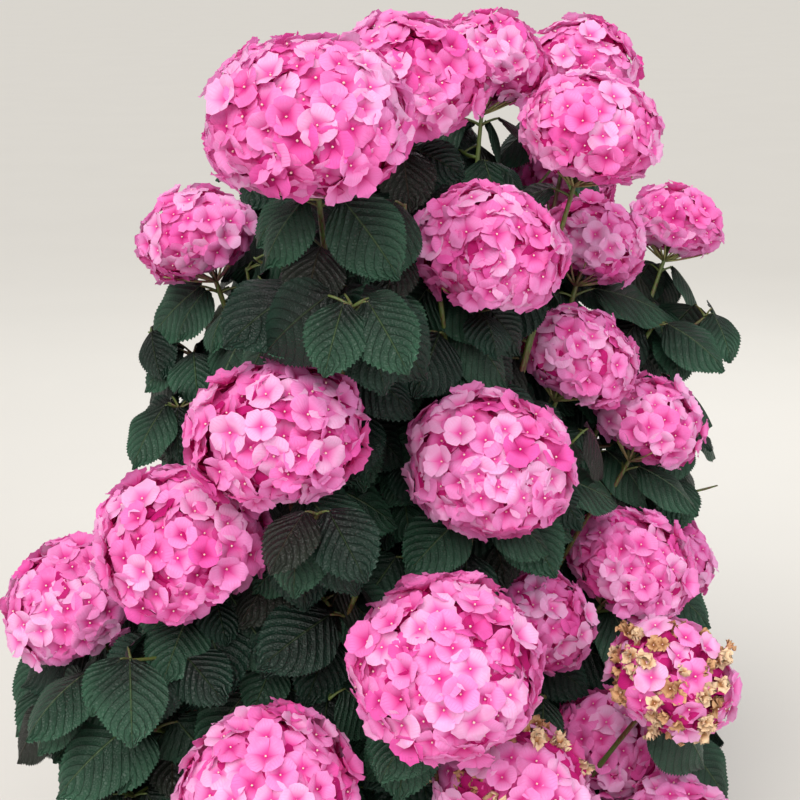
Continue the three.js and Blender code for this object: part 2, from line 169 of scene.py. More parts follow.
def surface(tree, tint, roughness, specular=0.5, through=0.0, **bump):
    skin = {"Base Color": tint, "Roughness": roughness, "Specular IOR Level": specular, **bump}
    shader = node(tree, "BsdfPrincipled", {}, skin)
    if through:
        glow = node(tree, "BsdfTranslucent", {}, {"Color": tint, **bump})
        shader = node(tree, "MixShader", {}, {0: through, 1: shader.outputs[0], 2: glow.outputs[0]})
    node(tree, "OutputMaterial", {}, {"Surface": shader.outputs[0]})


print("white paper is", [round(c, 3) for c in linear("#F4F1EA")[:3]])

# %% [markdown]
# ## Floor and light
# The floor is a plain pale sheet of matt paper, wide enough to fill the picture. The main light is a sun
# with a very wide disc, as behind thin cloud: it lights near and far floor alike and leaves soft edges,
# while the inside of the shrub goes dark. The Standard view shows the colours as they were picked.


# %% The floor
def paper_floor():
    material, tree = new_material("matt_studio_paper")
    fibre = cloudy(tree, place_in(tree), 2.0)
    surface(tree, mixed(tree, fibre, "#D6D4CF", "#DAD8D3"), 0.95)
    disc = bmesh.new()
    bmesh.ops.create_circle(disc, cap_ends=True, segments=96, radius=60.0)
    mesh = mesh_from(disc, "studio_floor")
    mesh.materials.append(material)
    floor = link_object("studio_floor", mesh)
    return floor


print("floor", paper_floor().name)


# %% The lamps
MIDDLE_OF_SHRUB = (0, 0, 0.75)


def hang_lamp(name, kind, place, strength, hex_code, settings):
    lamp = bpy.data.lights.new(name, kind)
    lamp.energy = strength
    lamp.color = linear(hex_code)[:3]
    for setting, value in settings.items():
        setattr(lamp, setting, value)
    holder = link_object(name, lamp)
    holder.location = place
    holder.rotation_euler = (Vector(MIDDLE_OF_SHRUB) - Vector(place)).to_track_quat("-Z", "Y").to_euler()
    print(name, "strength", strength)


hang_lamp("cloudy_sun", "SUN", (-0.9, -2.6, 3.4), 3.7, "#FFFCF8", {"angle": math.radians(58)})
hang_lamp("side_fill", "AREA", (2.6, -2.0, 1.7), 27.0, "#FAFAFF", {"shape": "DISK", "size": 2.0})
hang_lamp("back_light", "AREA", (0.8, 3.0, 3.0), 40.0, "#FFFFFF", {"shape": "DISK", "size": 2.0})

world = bpy.data.worlds.new("pale_sky")
world.use_nodes = True
world.node_tree.nodes["Background"].inputs["Color"].default_value = linear("#F4F3F2")
world.node_tree.nodes["Background"].inputs["Strength"].default_value = 0.25
bpy.context.scene.world = world
bpy.context.scene.view_settings.view_transform = "Standard"

# %% [markdown]
# ## Sizes of the shrub
# These are the same named sizes as in the part's source, in millimetres, because the twigs and leaves are
# to grow in the same places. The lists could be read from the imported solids, but a rule can be followed and
# changed.

# %% Sizes of canes, shoots, blooms and leaves
MM = 0.001
UP = np.array([0.0, 0.0, 1.0])
VIEWER = np.array([0.0, -1.0, 0.0])
VIEWER_PLACE = np.array([0.0, -2000.0, 1300.0])
JOINT_GAP = 0.3
STOOL_PROFILE = [(98, 0), (82, 14), (72, 40), (70, 66), (60, 88), (34, 102), (8, 108)]
RINGS = {
    "inner": SimpleNamespace(radius=21, height=84, first_slot=20, rise=0.7, spread=0.1),
    "middle": SimpleNamespace(radius=42, height=74, first_slot=-8, rise=0.62, spread=0.18),
    "outer": SimpleNamespace(radius=61, height=62, first_slot=-5, rise=0.55, spread=0.3),
}
CANE_FOOT_RADIUS = 8.5
CANE_TIP_RADIUS = 6
FORK_OUT = 0.5
FORK_UP = 0.5
MASS_STEM_LENGTH = 30
MASS_STEM_NODE_RADIUS = 8
SHOOT_RADIUS = 3.2
SHOOT_TIP_RADIUS = 3
SHOOT_SPREAD = 3.5
SHOOT_STEPS = 3
SHOOT_KNEE = 0.45
TWIG_SUNK_IN_STEM = 2
LEAFY_TWIGS = 2
LEAFY_TWIG_REACH = 0.95
LEAFY_TWIG_DROP = 105
LEAFY_TWIG_LEAST_RISE = 40
LEAFY_TWIG_KNEE_RISE = 30
LEAFY_TWIG_BARE_TIP = 4
LEAFY_TWIG_JOIN_POINTS = 4
LEAFY_TWIG_SWINGS = [20, 30, 12, 40, 50, 65]
CLOSER_LEAFY_TWIGS = {"shoulder_left": 0.7}
BLOOM_TOP = 0.86
BLOOM_UNDERSIDE = 0.6
BLOOM_TILT_TOP = 14
BLOOM_TILT_FOOT = 52
BLOOM_TILT_HEIGHT = 1150
print("stool", 2 * STOOL_PROFILE[0][0], "mm wide,", STOOL_PROFILE[-1][1], "mm high")

# %% Sizes of leaves, and what they keep clear of
LEAF_LENGTH = 138
LEAF_WIDTH_SHARE = 0.78
LEAF_CORNERS = [(0.24, 0.46, -0.03), (0.68, 0.4, -0.06)]
LEAF_TIP_LIFT = -0.12
LEAF_MIDDLE = 0.45
LEAF_CAMBER = 0.035
LEAF_DRAWN = 0.88
PETIOLE_SHARE = 0.24
PETIOLE_RISE = 0.5
LEAN_OUTWARDS = 0.5
FACE_OUTWARDS = 0.35
FACE_VIEWER = 0.6
FIRST_PAIR_BELOW_BLOOM = 30
BEARING_SPREAD = 0.9
TWIST_SPREAD = 0.6
PAIR_GAP = 52
MOST_PAIRS = 3
LEAFLESS_SHARE = 0.1
SMALLEST_LEAF = 0.7
LEAST_DROOP = 0.35
MOST_DROOP = 1.5
LEAF_TRIES = 6
CLEAR_OF_OTHER_LEAVES = 25
CLEAR_OF_OWN_LEAVES = 19
CLEAR_OF_OTHER_TWIGS = 19
CLEAR_OF_OWN_TWIGS = 14
CLEAR_OF_CANES = 21
CLEAR_OF_BLOOMS = 1.05
CLEAR_FACE = 0.75
CLEAR_FACE_REACH = 420
WIDEST_BLOOM_AND_LEAF = 200
CLEAR_OF_GROUND = 25
REACH_TOLERANCE = 2
POINTS_ALONG_TWIG = 14
POINTS_ALONG_CANE = 24
print("largest leaf", LEAF_LENGTH, "by", round(LEAF_LENGTH * LEAF_WIDTH_SHARE * 0.96), "mm")

# %% [markdown]
# ## Blooms, mass by mass
# Each row of the table is one cane with its mass of foliage. The heads that the photograph shows have their
# own places; those behind stand a little above or below level ellipses. Each head keeps one way open, in
# which no leaf may cover it. Two heads at the right have begun to wither, as old heads do in late summer.


# %% The masses
WIDER_WITH_RISE = 0.2


def seen(right, back, up, width, withered=0.0):
    centre = np.array([right, back, up], float)
    way = VIEWER_PLACE - centre
    return SimpleNamespace(centre=centre, width=width, open_way=way / np.linalg.norm(way), withered=withered)


def behind(bearing, level, raised):
    right = level.right + level.across * math.cos(math.radians(bearing))
    back = level.back + level.deep * math.sin(math.radians(bearing))
    centre = np.array([right, back, level.height + raised])
    way = centre * (1, 1, 0) / math.hypot(right, back)
    width = level.width + raised * WIDER_WITH_RISE
    return SimpleNamespace(centre=centre, width=width, open_way=way, withered=0.0)


CREST = SimpleNamespace(height=1095, across=215, deep=250, right=30, back=60, width=160)
SHOULDER = SimpleNamespace(height=940, across=300, deep=370, right=60, back=40, width=158)
WAIST = SimpleNamespace(height=690, across=310, deep=410, right=80, back=40, width=165)
KNEE = SimpleNamespace(height=520, across=375, deep=415, right=20, back=20, width=158)
FOOT = SimpleNamespace(height=270, across=385, deep=390, right=10, back=0, width=150)
MASSES = [
    ("crest_left", "inner", [seen(-85, -353, 1130, 205), seen(5, -70, 1148, 185)]),
    ("crest_right", "inner", [seen(110, 190, 1149, 165), seen(240, 300, 1138, 160)]),
    ("crest_back", "inner", [behind(95, CREST, -15), behind(150, CREST, 20)]),
    ("shoulder_front", "inner", [seen(215, -63, 1092, 170), seen(95, -164, 974, 175)]),
    ("shoulder_left", "inner", [seen(-240, 20, 958, 150)]),
    ("shoulder_right", "inner", [seen(240, 137, 931, 150), seen(370, 270, 933, 133)]),
    ("waist_right", "middle", [seen(212, 0, 814, 155), seen(313, 50, 718, 145)]),
    ("waist_left", "middle", [seen(-124, -358, 821, 185), seen(-227, -324, 694, 185)]),
    ("waist_front", "middle", [seen(95, -253, 760, 185), seen(47, -419, 596, 200)]),
    ("back_right", "middle", [behind(58, SHOULDER, 45), behind(38, WAIST, -15), behind(71, WAIST, 15)]),
    ("back_middle", "middle", [behind(94, SHOULDER, -30), behind(105, WAIST, 35)]),
    ("back_left", "middle", [behind(130, SHOULDER, 25), behind(140, WAIST, 0)]),
    ("knee_left", "outer", [seen(-373, -193, 574, 165)]),
    ("knee_right", "outer", [seen(165, -136, 530, 135), seen(282, -40, 562, 168)]),
    ("knee_front", "outer", [seen(-136, -439, 468, 190), seen(118, -372, 433, 176, 0.3)]),
    (
        "knee_front_right",
        "outer",
        [seen(300, -263, 514, 155, 0.36), seen(250, -130, 367, 145), behind(325, FOOT, 25)],
    ),
    ("low_back_right", "outer", [behind(25, KNEE, -35), behind(52, KNEE, 10), behind(30, FOOT, 20)]),
    ("low_back_middle", "outer", [behind(79, KNEE, -45), behind(106, KNEE, 10), behind(80, FOOT, -25)]),
    ("low_back_left", "outer", [behind(133, KNEE, -35), behind(160, KNEE, 30), behind(130, FOOT, 30)]),
    ("low_front", "outer", [behind(215, FOOT, 15), behind(265, FOOT, -30)]),
]
MASSES = [SimpleNamespace(name=name, ring=ring, blooms=blooms) for name, ring, blooms in MASSES]
print(len(MASSES), "masses with", sum(len(mass.blooms) for mass in MASSES), "blooms")

# %% [markdown]
# ## Canes and shoots
# Canes stand on the stool in three rings and arch outwards; a shoot runs from its cane's fork to its head
# and enters it along the head's axis. Both are quadratic Bezier curves: three points are enough for one
# arch, and the middle one sets how upright it starts.


# %% Small steps that the rule is made of
def unit(way):
    return way / math.sqrt(way @ way)


def units(ways):
    return ways / np.linalg.norm(ways, axis=1)[:, None]


def outwards(point):
    return unit(np.array([point[0], point[1], 0.0]))


def turned(way, axis, angle):
    spun = way * math.cos(angle) + np.cross(axis, way) * math.sin(angle)
    return spun + axis * (axis @ way) * (1 - math.cos(angle))


def on_curve(curve, share):
    start, knee, end = curve
    rest = 1 - share
    return rest * rest * start + 2 * rest * share * knee + share * share * end


def points_on(curve, steps):
    return np.array([on_curve(curve, i / steps) for i in range(steps + 1)])


def middle_of(blooms):
    return sum(bloom.centre for bloom in blooms) / len(blooms)


def make_dice(seed):
    state = seed
    while True:
        state = state * 16807 % 2147483647
        yield state / 2147483647


print("first throws", [round(throw, 3) for throw, _ in zip(make_dice(1009), range(3))])


# %% Canes on the stool
def bloom_axis(bloom):
    share = bloom.centre[2] / BLOOM_TILT_HEIGHT
    tilt = math.radians(BLOOM_TILT_FOOT + (BLOOM_TILT_TOP - BLOOM_TILT_FOOT) * share)
    return UP * math.cos(tilt) + outwards(bloom.centre) * math.sin(tilt)


def bearing_of(mass):
    middle = middle_of(mass.blooms)
    return math.degrees(math.atan2(middle[1], middle[0])) % 360


def stand_canes(ring_name):
    ring = RINGS[ring_name]
    masses = sorted((mass for mass in MASSES if mass.ring == ring_name), key=bearing_of)
    for slot, mass in enumerate(masses):
        angle = math.radians(ring.first_slot + 360 * slot / len(masses))
        foot = np.array([ring.radius * math.cos(angle), ring.radius * math.sin(angle), ring.height])
        tip = middle_of(mass.blooms) * (FORK_OUT, FORK_OUT, FORK_UP)
        knee = foot + (tip - foot) * (ring.spread, ring.spread, ring.rise)
        mass.cane = (foot, knee, tip)
        mass.cane_points = points_on(mass.cane, POINTS_ALONG_CANE)
        mass.way = unit(tip - on_curve(mass.cane, 0.9999))
        mass.fork = tip + mass.way * MASS_STEM_LENGTH


for mass in MASSES:
    for bloom in mass.blooms:
        bloom.axis = bloom_axis(bloom)
for ring_name in RINGS:
    stand_canes(ring_name)
print("canes end between", *(f"{limit(m.cane[2][2] for m in MASSES):.0f} mm" for limit in (min, max)))


# %% Shoots to the blooms, and leafy twigs beside them
def twig_curve(mass, knee, end):
    side = knee - mass.fork
    side = unit(side - mass.way * (side @ mass.way))
    return (mass.fork + side * SHOOT_SPREAD - mass.way * TWIG_SUNK_IN_STEM, knee, end)


def shoot_curve(mass, bloom):
    length = math.dist(mass.fork, bloom.centre)
    return twig_curve(mass, bloom.centre - bloom.axis * length * SHOOT_KNEE, bloom.centre)


def leafy_curve(mass, swing):
    reach = CLOSER_LEAFY_TWIGS.get(mass.name, LEAFY_TWIG_REACH)
    end = turned(middle_of(mass.blooms), UP, math.radians(swing)) * (reach, reach, 1)
    end[2] = max(mass.fork[2] + LEAFY_TWIG_LEAST_RISE, end[2] - LEAFY_TWIG_DROP)
    return twig_curve(mass, (mass.fork + end) / 2 + UP * LEAFY_TWIG_KNEE_RISE, end)


def from_axis(points, centre, axis):
    offsets = points - centre
    along = offsets @ axis
    return along, np.linalg.norm(offsets - np.outer(along, axis), axis=1)


def inside_blooms(points, blooms):
    for bloom in blooms:
        half = bloom.width / 2 * CLEAR_OF_BLOOMS
        along, across = from_axis(points, bloom.centre, bloom.axis)
        height = np.where(along > 0, BLOOM_TOP, BLOOM_UNDERSIDE)
        if (np.hypot(across / half, along / (half * height)) < 1).any():
            return True
    return False


def covers_blooms(points, blooms):
    for bloom in blooms:
        ahead, aside = from_axis(points, bloom.centre, bloom.open_way)
        if ((ahead > 0) & (ahead < CLEAR_FACE_REACH) & (aside < bloom.width / 2 * CLEAR_FACE)).any():
            return True
    return False


def are_clear(points, others, clearance):
    if not len(others):
        return True
    offsets = points[:, None, :] - others[None, :, :]
    return bool(((offsets**2).sum(2) > clearance**2).all())


def leafy_twig_has_room(mass, curve):
    points = points_on(curve, POINTS_ALONG_TWIG)
    for other in MASSES:
        if inside_blooms(points, other.blooms) or covers_blooms(points, other.blooms):
            return False
        if not are_clear(points[LEAFY_TWIG_JOIN_POINTS:], other.cane_points, CLEAR_OF_CANES):
            return False
        if other is not mass and not are_clear(points, other.twig_points, CLEAR_OF_OTHER_TWIGS):
            return False
    return True


def twig_on(curve, bare_tip):
    return SimpleNamespace(curve=curve, bare_tip=bare_tip, bears_leaf=False)


for mass in MASSES:
    mass.twigs = []
    for bloom in mass.blooms:
        bare_tip = bloom.width / 2 * BLOOM_UNDERSIDE + FIRST_PAIR_BELOW_BLOOM
        mass.twigs.append(twig_on(shoot_curve(mass, bloom), bare_tip))
    mass.twig_points = np.vstack([points_on(twig.curve, POINTS_ALONG_TWIG) for twig in mass.twigs])
for mass in MASSES:
    for number in range(LEAFY_TWIGS):
        sign = 1 if number % 2 else -1
        curves = [leafy_curve(mass, sign * swing) for swing in LEAFY_TWIG_SWINGS]
        curve = next((one for one in curves if leafy_twig_has_room(mass, one)), None)
        if curve is not None:
            mass.twigs.append(twig_on(curve, LEAFY_TWIG_BARE_TIP))
            mass.twig_points = np.vstack([mass.twig_points, points_on(curve, POINTS_ALONG_TWIG)])
print(sum(len(mass.twigs) for mass in MASSES), "shoots and leafy twigs")

# %% [markdown]
# ## Where the leaves grow
# Hydrangea leaves stand in opposite pairs, each pair a quarter turn from the last. Every place is given a
# few lies, each with its own direction, size and droop, and takes the first that touches nothing. The first
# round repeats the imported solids' leaves, and draws them a little smaller, with room for more beside them.
# Four finer rounds, with closer limits each time, carry the rule on along the same twigs and along thin
# side twigs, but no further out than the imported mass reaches. They make the gaps between the heads dark.


# %% Places for leaves
def on_twig(curve, share):
    step = min(math.floor(share * SHOOT_STEPS), SHOOT_STEPS - 1)
    start = on_curve(curve, step / SHOOT_STEPS)
    return start + (on_curve(curve, (step + 1) / SHOOT_STEPS) - start) * (share * SHOOT_STEPS - step)


def mark_places(twigs, owner, seed, pairs, tries, smallest, largest):
    dice = make_dice(seed)
    places = []
    for twig in twigs:
        length = math.dist(twig.curve[0], twig.curve[2])
        turn = next(dice) * 2 * math.pi
        for pair in range(pairs):
            below = twig.bare_tip + pair * PAIR_GAP
            if below > length * (1 - LEAFLESS_SHARE):
                break
            share = 1 - below / length
            for opposite in (0, math.pi):
                lies = []
                for _ in range(tries):
                    azimuth = turn + pair * math.pi / 2 + opposite + (next(dice) - 0.5) * BEARING_SPREAD
                    size = smallest + (largest - smallest) * next(dice)
                    droop = LEAST_DROOP + (MOST_DROOP - LEAST_DROOP) * next(dice)
                    lies.append((azimuth, size, droop, (next(dice) - 0.5) * TWIST_SPREAD))
                places.append(SimpleNamespace(owner=owner, pair=pair, twig=twig, share=share, lies=lies))
    return places


def lay_leaf(root, azimuth, size, droop, twist):
    out = outwards(root)
    level = unit(np.array([math.cos(azimuth), math.sin(azimuth), 0.0]) + out * LEAN_OUTWARDS)
    length = LEAF_LENGTH * size
    base = root + unit(level + UP * PETIOLE_RISE) * length * PETIOLE_SHARE
    along = unit(level - UP * droop)
    light = UP + out * FACE_OUTWARDS + VIEWER * FACE_VIEWER
    facing = turned(light, along, twist)
    normal = unit(facing - along * (facing @ along))
    side = np.cross(along, normal)

    def at(share, across, lift):
        return base + length * (along * share + side * across * LEAF_WIDTH_SHARE + normal * lift)

    spread = [(0.24, 0.15, 0), (0.68, 0.13, 0), (0.46, 0.46, -0.04), (0.86, 0.19, -0.08), *LEAF_CORNERS]
    blade = [base, at(LEAF_MIDDLE, 0, LEAF_CAMBER), at(1, 0, LEAF_TIP_LIFT)]
    blade += [at(share, sign * across, lift) for share, across, lift in spread for sign in (1, -1)]
    points = np.array([*blade, (root + base) / 2])
    lie = (azimuth, size, droop, twist)
    return SimpleNamespace(
        root=root, lie=lie, base=base, along=along, normal=normal, side=side, length=length, points=points
    )


print("one leaf has", len(lay_leaf(np.array([90.0, 0, 500]), 0.4, 1, 1, 0).points), "test points")


# %% Leaves that have room
for mass in MASSES:
    mass.reach = [np.array(corner) / MM for corner in cad_box]
leaf_points = np.zeros((0, 3))
leaf_owner = np.zeros(0, int)
twig_points = np.vstack([mass.twig_points for mass in MASSES])
twig_owner = np.repeat(range(len(MASSES)), [len(mass.twig_points) for mass in MASSES])
cane_points = np.vstack([mass.cane_points for mass in MASSES])
all_blooms = [bloom for mass in MASSES for bloom in mass.blooms]


def near(points, centre):
    return (np.abs(points - centre) < LEAF_LENGTH).all(axis=1)


def leaf_has_room(leaf, owner, closer):
    points = leaf.points
    if points[:, 2].min() < CLEAR_OF_GROUND:
        return False
    low, high = MASSES[owner].reach
    if (points < low - REACH_TOLERANCE).any() or (points > high + REACH_TOLERANCE).any():
        return False
    centre = points[1]
    kinds = (
        (twig_points, twig_owner, CLEAR_OF_OWN_TWIGS, CLEAR_OF_OTHER_TWIGS, points[:-1]),
        (leaf_points, leaf_owner, CLEAR_OF_OWN_LEAVES, CLEAR_OF_OTHER_LEAVES, points),
    )
    for others, owners, from_own, from_other, blade in kinds:
        here = near(others, centre)
        own = owners == owner
        if not are_clear(blade, others[here & own], from_own * closer):
            return False
        if not are_clear(points, others[here & ~own], from_other * closer):
            return False
    if not are_clear(points, cane_points[near(cane_points, centre)], CLEAR_OF_CANES * closer):
        return False
    farthest = CLEAR_FACE_REACH + WIDEST_BLOOM_AND_LEAF
    blooms_here = [bloom for bloom in all_blooms if math.dist(bloom.centre, centre) < farthest]
    return not inside_blooms(points, blooms_here) and not covers_blooms(points, blooms_here)


def grow_leaves(places, closer):
    global leaf_points, leaf_owner
    grown = 0
    for place in sorted(places, key=lambda place: place.pair):
        root = on_twig(place.twig.curve, place.share)
        laid = (lay_leaf(root, *lie) for lie in place.lies)
        leaf = next((one for one in laid if leaf_has_room(one, place.owner, closer)), None)
        if leaf is None:
            continue
        leaf.node = on_curve(place.twig.curve, place.share)
        leaf.pair = place.pair
        place.twig.bears_leaf = True
        MASSES[place.owner].leaves.append(leaf)
        leaf_points = np.vstack([leaf_points, leaf.points])
        leaf_owner = np.append(leaf_owner, np.full(len(leaf.points), place.owner))
        grown += 1
    return grown


for mass in MASSES:
    mass.leaves = []
first_round = []
for number, mass in enumerate(MASSES):
    seed = 1009 + 97 * number
    first_round += mark_places(mass.twigs, number, seed, MOST_PAIRS, LEAF_TRIES, SMALLEST_LEAF, 1.0)
print("leaves of the packed solids", grow_leaves(first_round, 1.0))

# %% Side twigs
SIDE_TWIG_SHARES = [0.22, 0.36, 0.5, 0.64, 0.78]
SIDE_TWIG_SHORTEST = 70
SIDE_TWIG_LONGEST = 140
SIDE_TWIG_ABOVE_GROUND = 60
CLEAR_OF_SIDE_TWIGS = 12
SIDE_TWIG_JOIN_POINTS = 5
SIDE_TWIG_BARE_TIP = 3
SIDE_TWIG_RADII = (2.6, 1.7)
OWN_REACH_MARGIN = 15


def own_reach(mass):
    ends = [bloom.centre + side * bloom.width / 2 for bloom in mass.blooms for side in (-1, 1)]
    reached = np.vstack([mass.twig_points, *(leaf.points for leaf in mass.leaves), ends])
    low = np.maximum(reached.min(axis=0) - OWN_REACH_MARGIN, np.array(cad_box[0]) / MM)
    high = np.minimum(reached.max(axis=0) + OWN_REACH_MARGIN, np.array(cad_box[1]) / MM)
    return low, high


def laid_smaller(leaf):
    azimuth, size, droop, twist = leaf.lie
    smaller = lay_leaf(leaf.root, azimuth, size * LEAF_DRAWN, droop, twist)
    smaller.node = leaf.node
    smaller.pair = leaf.pair
    return smaller


for mass in MASSES:
    mass.reach = own_reach(mass)
    mass.leaves = [laid_smaller(leaf) for leaf in mass.leaves]
leaf_points = np.vstack([leaf.points for mass in MASSES for leaf in mass.leaves])
leaf_owner = np.repeat(range(len(MASSES)), [sum(len(leaf.points) for leaf in mass.leaves) for mass in MASSES])


def side_twig(twig, share, angle, length):
    start = on_curve(twig.curve, share)
    way = unit(on_curve(twig.curve, share + 0.02) - start)
    side = unit(np.cross(way, turned(UP + outwards(start) * 0.3, way, angle)))
    end = start + (side * 0.8 + way * 0.5 + outwards(start) * 0.25) * length
    return twig_on((start, start + side * length * 0.5, end), SIDE_TWIG_BARE_TIP)


def side_twig_has_room(points, reach):
    low, high = reach
    if (points < low).any() or (points > high).any() or points[:, 2].min() < SIDE_TWIG_ABOVE_GROUND:
        return False
    if inside_blooms(points, all_blooms) or covers_blooms(points, all_blooms):
        return False
    free = points[SIDE_TWIG_JOIN_POINTS:]
    return all(are_clear(free, others, CLEAR_OF_SIDE_TWIGS) for others in (cane_points, twig_points))


for number, mass in enumerate(MASSES):
    dice = make_dice(7001 + 71 * number)
    mass.side_twigs = []
    for twig in mass.twigs:
        length = math.dist(twig.curve[0], twig.curve[2])
        for share in SIDE_TWIG_SHARES:
            angle = next(dice) * 2 * math.pi
            longer = (SIDE_TWIG_LONGEST - SIDE_TWIG_SHORTEST) * next(dice)
            side = side_twig(twig, share, angle, SIDE_TWIG_SHORTEST + longer)
            points = points_on(side.curve, POINTS_ALONG_TWIG)
            bare = share > 1 - twig.bare_tip / length
            if not bare and side_twig_has_room(points, mass.reach):
                mass.side_twigs.append(side)
                points = points[SIDE_TWIG_JOIN_POINTS:]
                twig_points = np.vstack([twig_points, points])
                twig_owner = np.append(twig_owner, np.full(len(points), number))
print(sum(len(mass.side_twigs) for mass in MASSES), "side twigs")

# %% The finer leaves
FINER_ROUNDS = [
    # Seed, pairs on a twig, tries, smallest and largest leaf, and the share of the clearances it keeps.
    (2003, 6, 6, 0.55, 0.85, 0.6),
    (3001, 6, 6, 0.5, 0.75, 0.47),
    (5003, 6, 5, 0.4, 0.62, 0.38),
    (6007, 6, 7, 0.45, 0.7, 0.3),
]
for seed, pairs, tries, smallest, largest, closer in FINER_ROUNDS:
    places = []
    for number, mass in enumerate(MASSES):
        places += mark_places(mass.twigs, number, seed + 89 * number, pairs, tries, smallest, largest)
        places += mark_places(mass.side_twigs, number, seed + 97 * number, 2, tries, smallest, largest)
    print("leaves up to", largest, "of full size:", grow_leaves(places, closer))
for mass in MASSES:
    mass.side_twigs = [twig for twig in mass.side_twigs if twig.bears_leaf]
print(sum(len(mass.side_twigs) for mass in MASSES), "side twigs bear leaves and stay")

# %% [markdown]
# ## Bark of stool and canes
# Old hydrangea wood is grey-brown and dry, with long shallow ridges where the bark peels in strips and
# small raised pores. The ridges are in the mesh; the pores and fibres are too fine for that and are bumps,
# about 2 to 6 mm long. It is quite rough, so it takes no highlight.


# %% The bark material
def dry_bark():
    material, tree = new_material("dry_peeling_bark")
    place = place_in(tree)
    # Strips run up the cane, so the pattern is drawn out four times in Z.
    strips = cloudy(tree, place_in(tree, 0.25), 240.0, 6.0, 0.65)
    ramp = node(tree, "ValToRGB", {}, {"Fac": strips})
    for stop, position, hex_code in zip(ramp.color_ramp.elements, (0.32, 0.7), ("#3E3026", "#A08C74")):
        stop.position = position
        stop.color = linear(hex_code)
    tint = mixed(tree, cloudy(tree, place, 28.0), ramp.outputs[0], "#7B6553")
    pores = node(tree, "TexVoronoi", {}, {"Vector": place, "Scale": 260.0}).outputs["Distance"]
    pitted = bumped(tree, pores, 0.35, 0.0006)
    surface(tree, tint, 0.88, Normal=bumped(tree, strips, 0.6, 0.0012, Normal=pitted))
    return material


BARK = dry_bark()
print("made", BARK.name)

# %% [markdown]
# ## Limbs
# A cane could be a curve with a bevel, but a curve can't carry ridges. Here a straight tube is made once by
# extruding a circle ring by ring, and its rings are then laid along each curve. The frame is carried
# along the curve with the least turning, so the ridges don't twist.

# %% A straight tube, turned into arrays
Shape = namedtuple("Shape", "verts corners sizes tags uvs")


def read(source, field, kind=int):
    width = 3 if field == "co" else 2 if field == "uv" else 1
    values = np.empty(len(source) * width, kind)
    source.foreach_get(field, values)
    return values if width == 1 else values.reshape(-1, width)


def shape_from(bm):
    mesh = mesh_from(bm, "shape")
    verts = read(mesh.vertices, "co", float)
    corners = read(mesh.loops, "vertex_index")
    sizes = read(mesh.polygons, "loop_total")
    tags = read(mesh.polygons, "material_index")
    uvs = read(mesh.uv_layers[0].data, "uv", float) if mesh.uv_layers else np.zeros((len(corners), 2))
    bpy.data.meshes.remove(mesh)
    return Shape(verts, corners, sizes, tags, uvs)


def write_growth(bm, uv_layer, growth):
    for face in bm.faces:
        for loop in face.loops:
            loop[uv_layer].uv = growth[loop.vert]


def straight_tube(sides, rings):
    bm = bmesh.new()
    ring = bmesh.ops.create_circle(bm, cap_ends=True, segments=sides, radius=1.0)["verts"]
    bmesh.ops.reverse_faces(bm, faces=bm.faces[:])
    edges = bm.edges[:]
    for _ in range(rings):
        out = bmesh.ops.extrude_edge_only(bm, edges=edges)["geom"]
        ring = [part for part in out if isinstance(part, bmesh.types.BMVert)]
        edges = [part for part in out if isinstance(part, bmesh.types.BMEdge)]
        bmesh.ops.translate(bm, verts=ring, vec=(0, 0, 1 / rings))
    bmesh.ops.contextual_create(bm, geom=edges)
    bmesh.ops.recalc_face_normals(bm, faces=bm.faces[:])
    return shape_from(bm)


CANE_TUBE = straight_tube(12, 44)
TWIG_TUBE = straight_tube(7, 12)
STALK_TUBE = straight_tube(4, 4)
print("cane tube", len(CANE_TUBE.sizes), "faces, twig tube", len(TWIG_TUBE.sizes), "faces")


# %% Laying a tube along a path
def frames_along(path):
    ways = units(np.gradient(path, axis=0))
    start = np.cross(ways[0], UP)
    if start @ start < 1e-4:
        start = np.cross(ways[0], VIEWER)
    sides = [unit(start)]
    for way in ways[1:]:
        sides.append(unit(sides[-1] - way * (sides[-1] @ way)))
    sides = np.array(sides)
    return sides, np.cross(ways, sides)


def lay_tube(tube, path, radii, ridge=None):
    steps = len(path) - 1
    ring = np.rint(tube.verts[:, 2] * steps).astype(int)
    sides, thirds = frames_along(path)
    around = np.arctan2(tube.verts[:, 1], tube.verts[:, 0])
    radius = radii[ring]
    if ridge is not None:
        radius = radius * ridge(around, tube.verts[:, 2])
    cosine = (radius * np.cos(around))[:, None]
    sine = (radius * np.sin(around))[:, None]
    return path[ring] + sides[ring] * cosine + thirds[ring] * sine


def steps_of(tube):
    return len(np.unique(np.rint(tube.verts[:, 2] * 10000))) - 1


print("steps:", *(steps_of(tube) for tube in (CANE_TUBE, TWIG_TUBE, STALK_TUBE)))


# %% Putting a piece in place
def put_piece(name, mesh, materials, node_name):
    mesh.polygons.foreach_set("use_smooth", np.ones(len(mesh.polygons), bool))
    for material in materials:
        mesh.materials.append(material)
    piece = link_object(name, mesh)
    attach(piece, "root")
    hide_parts(node_name)
    return len(mesh.loops) - 2 * len(mesh.polygons)


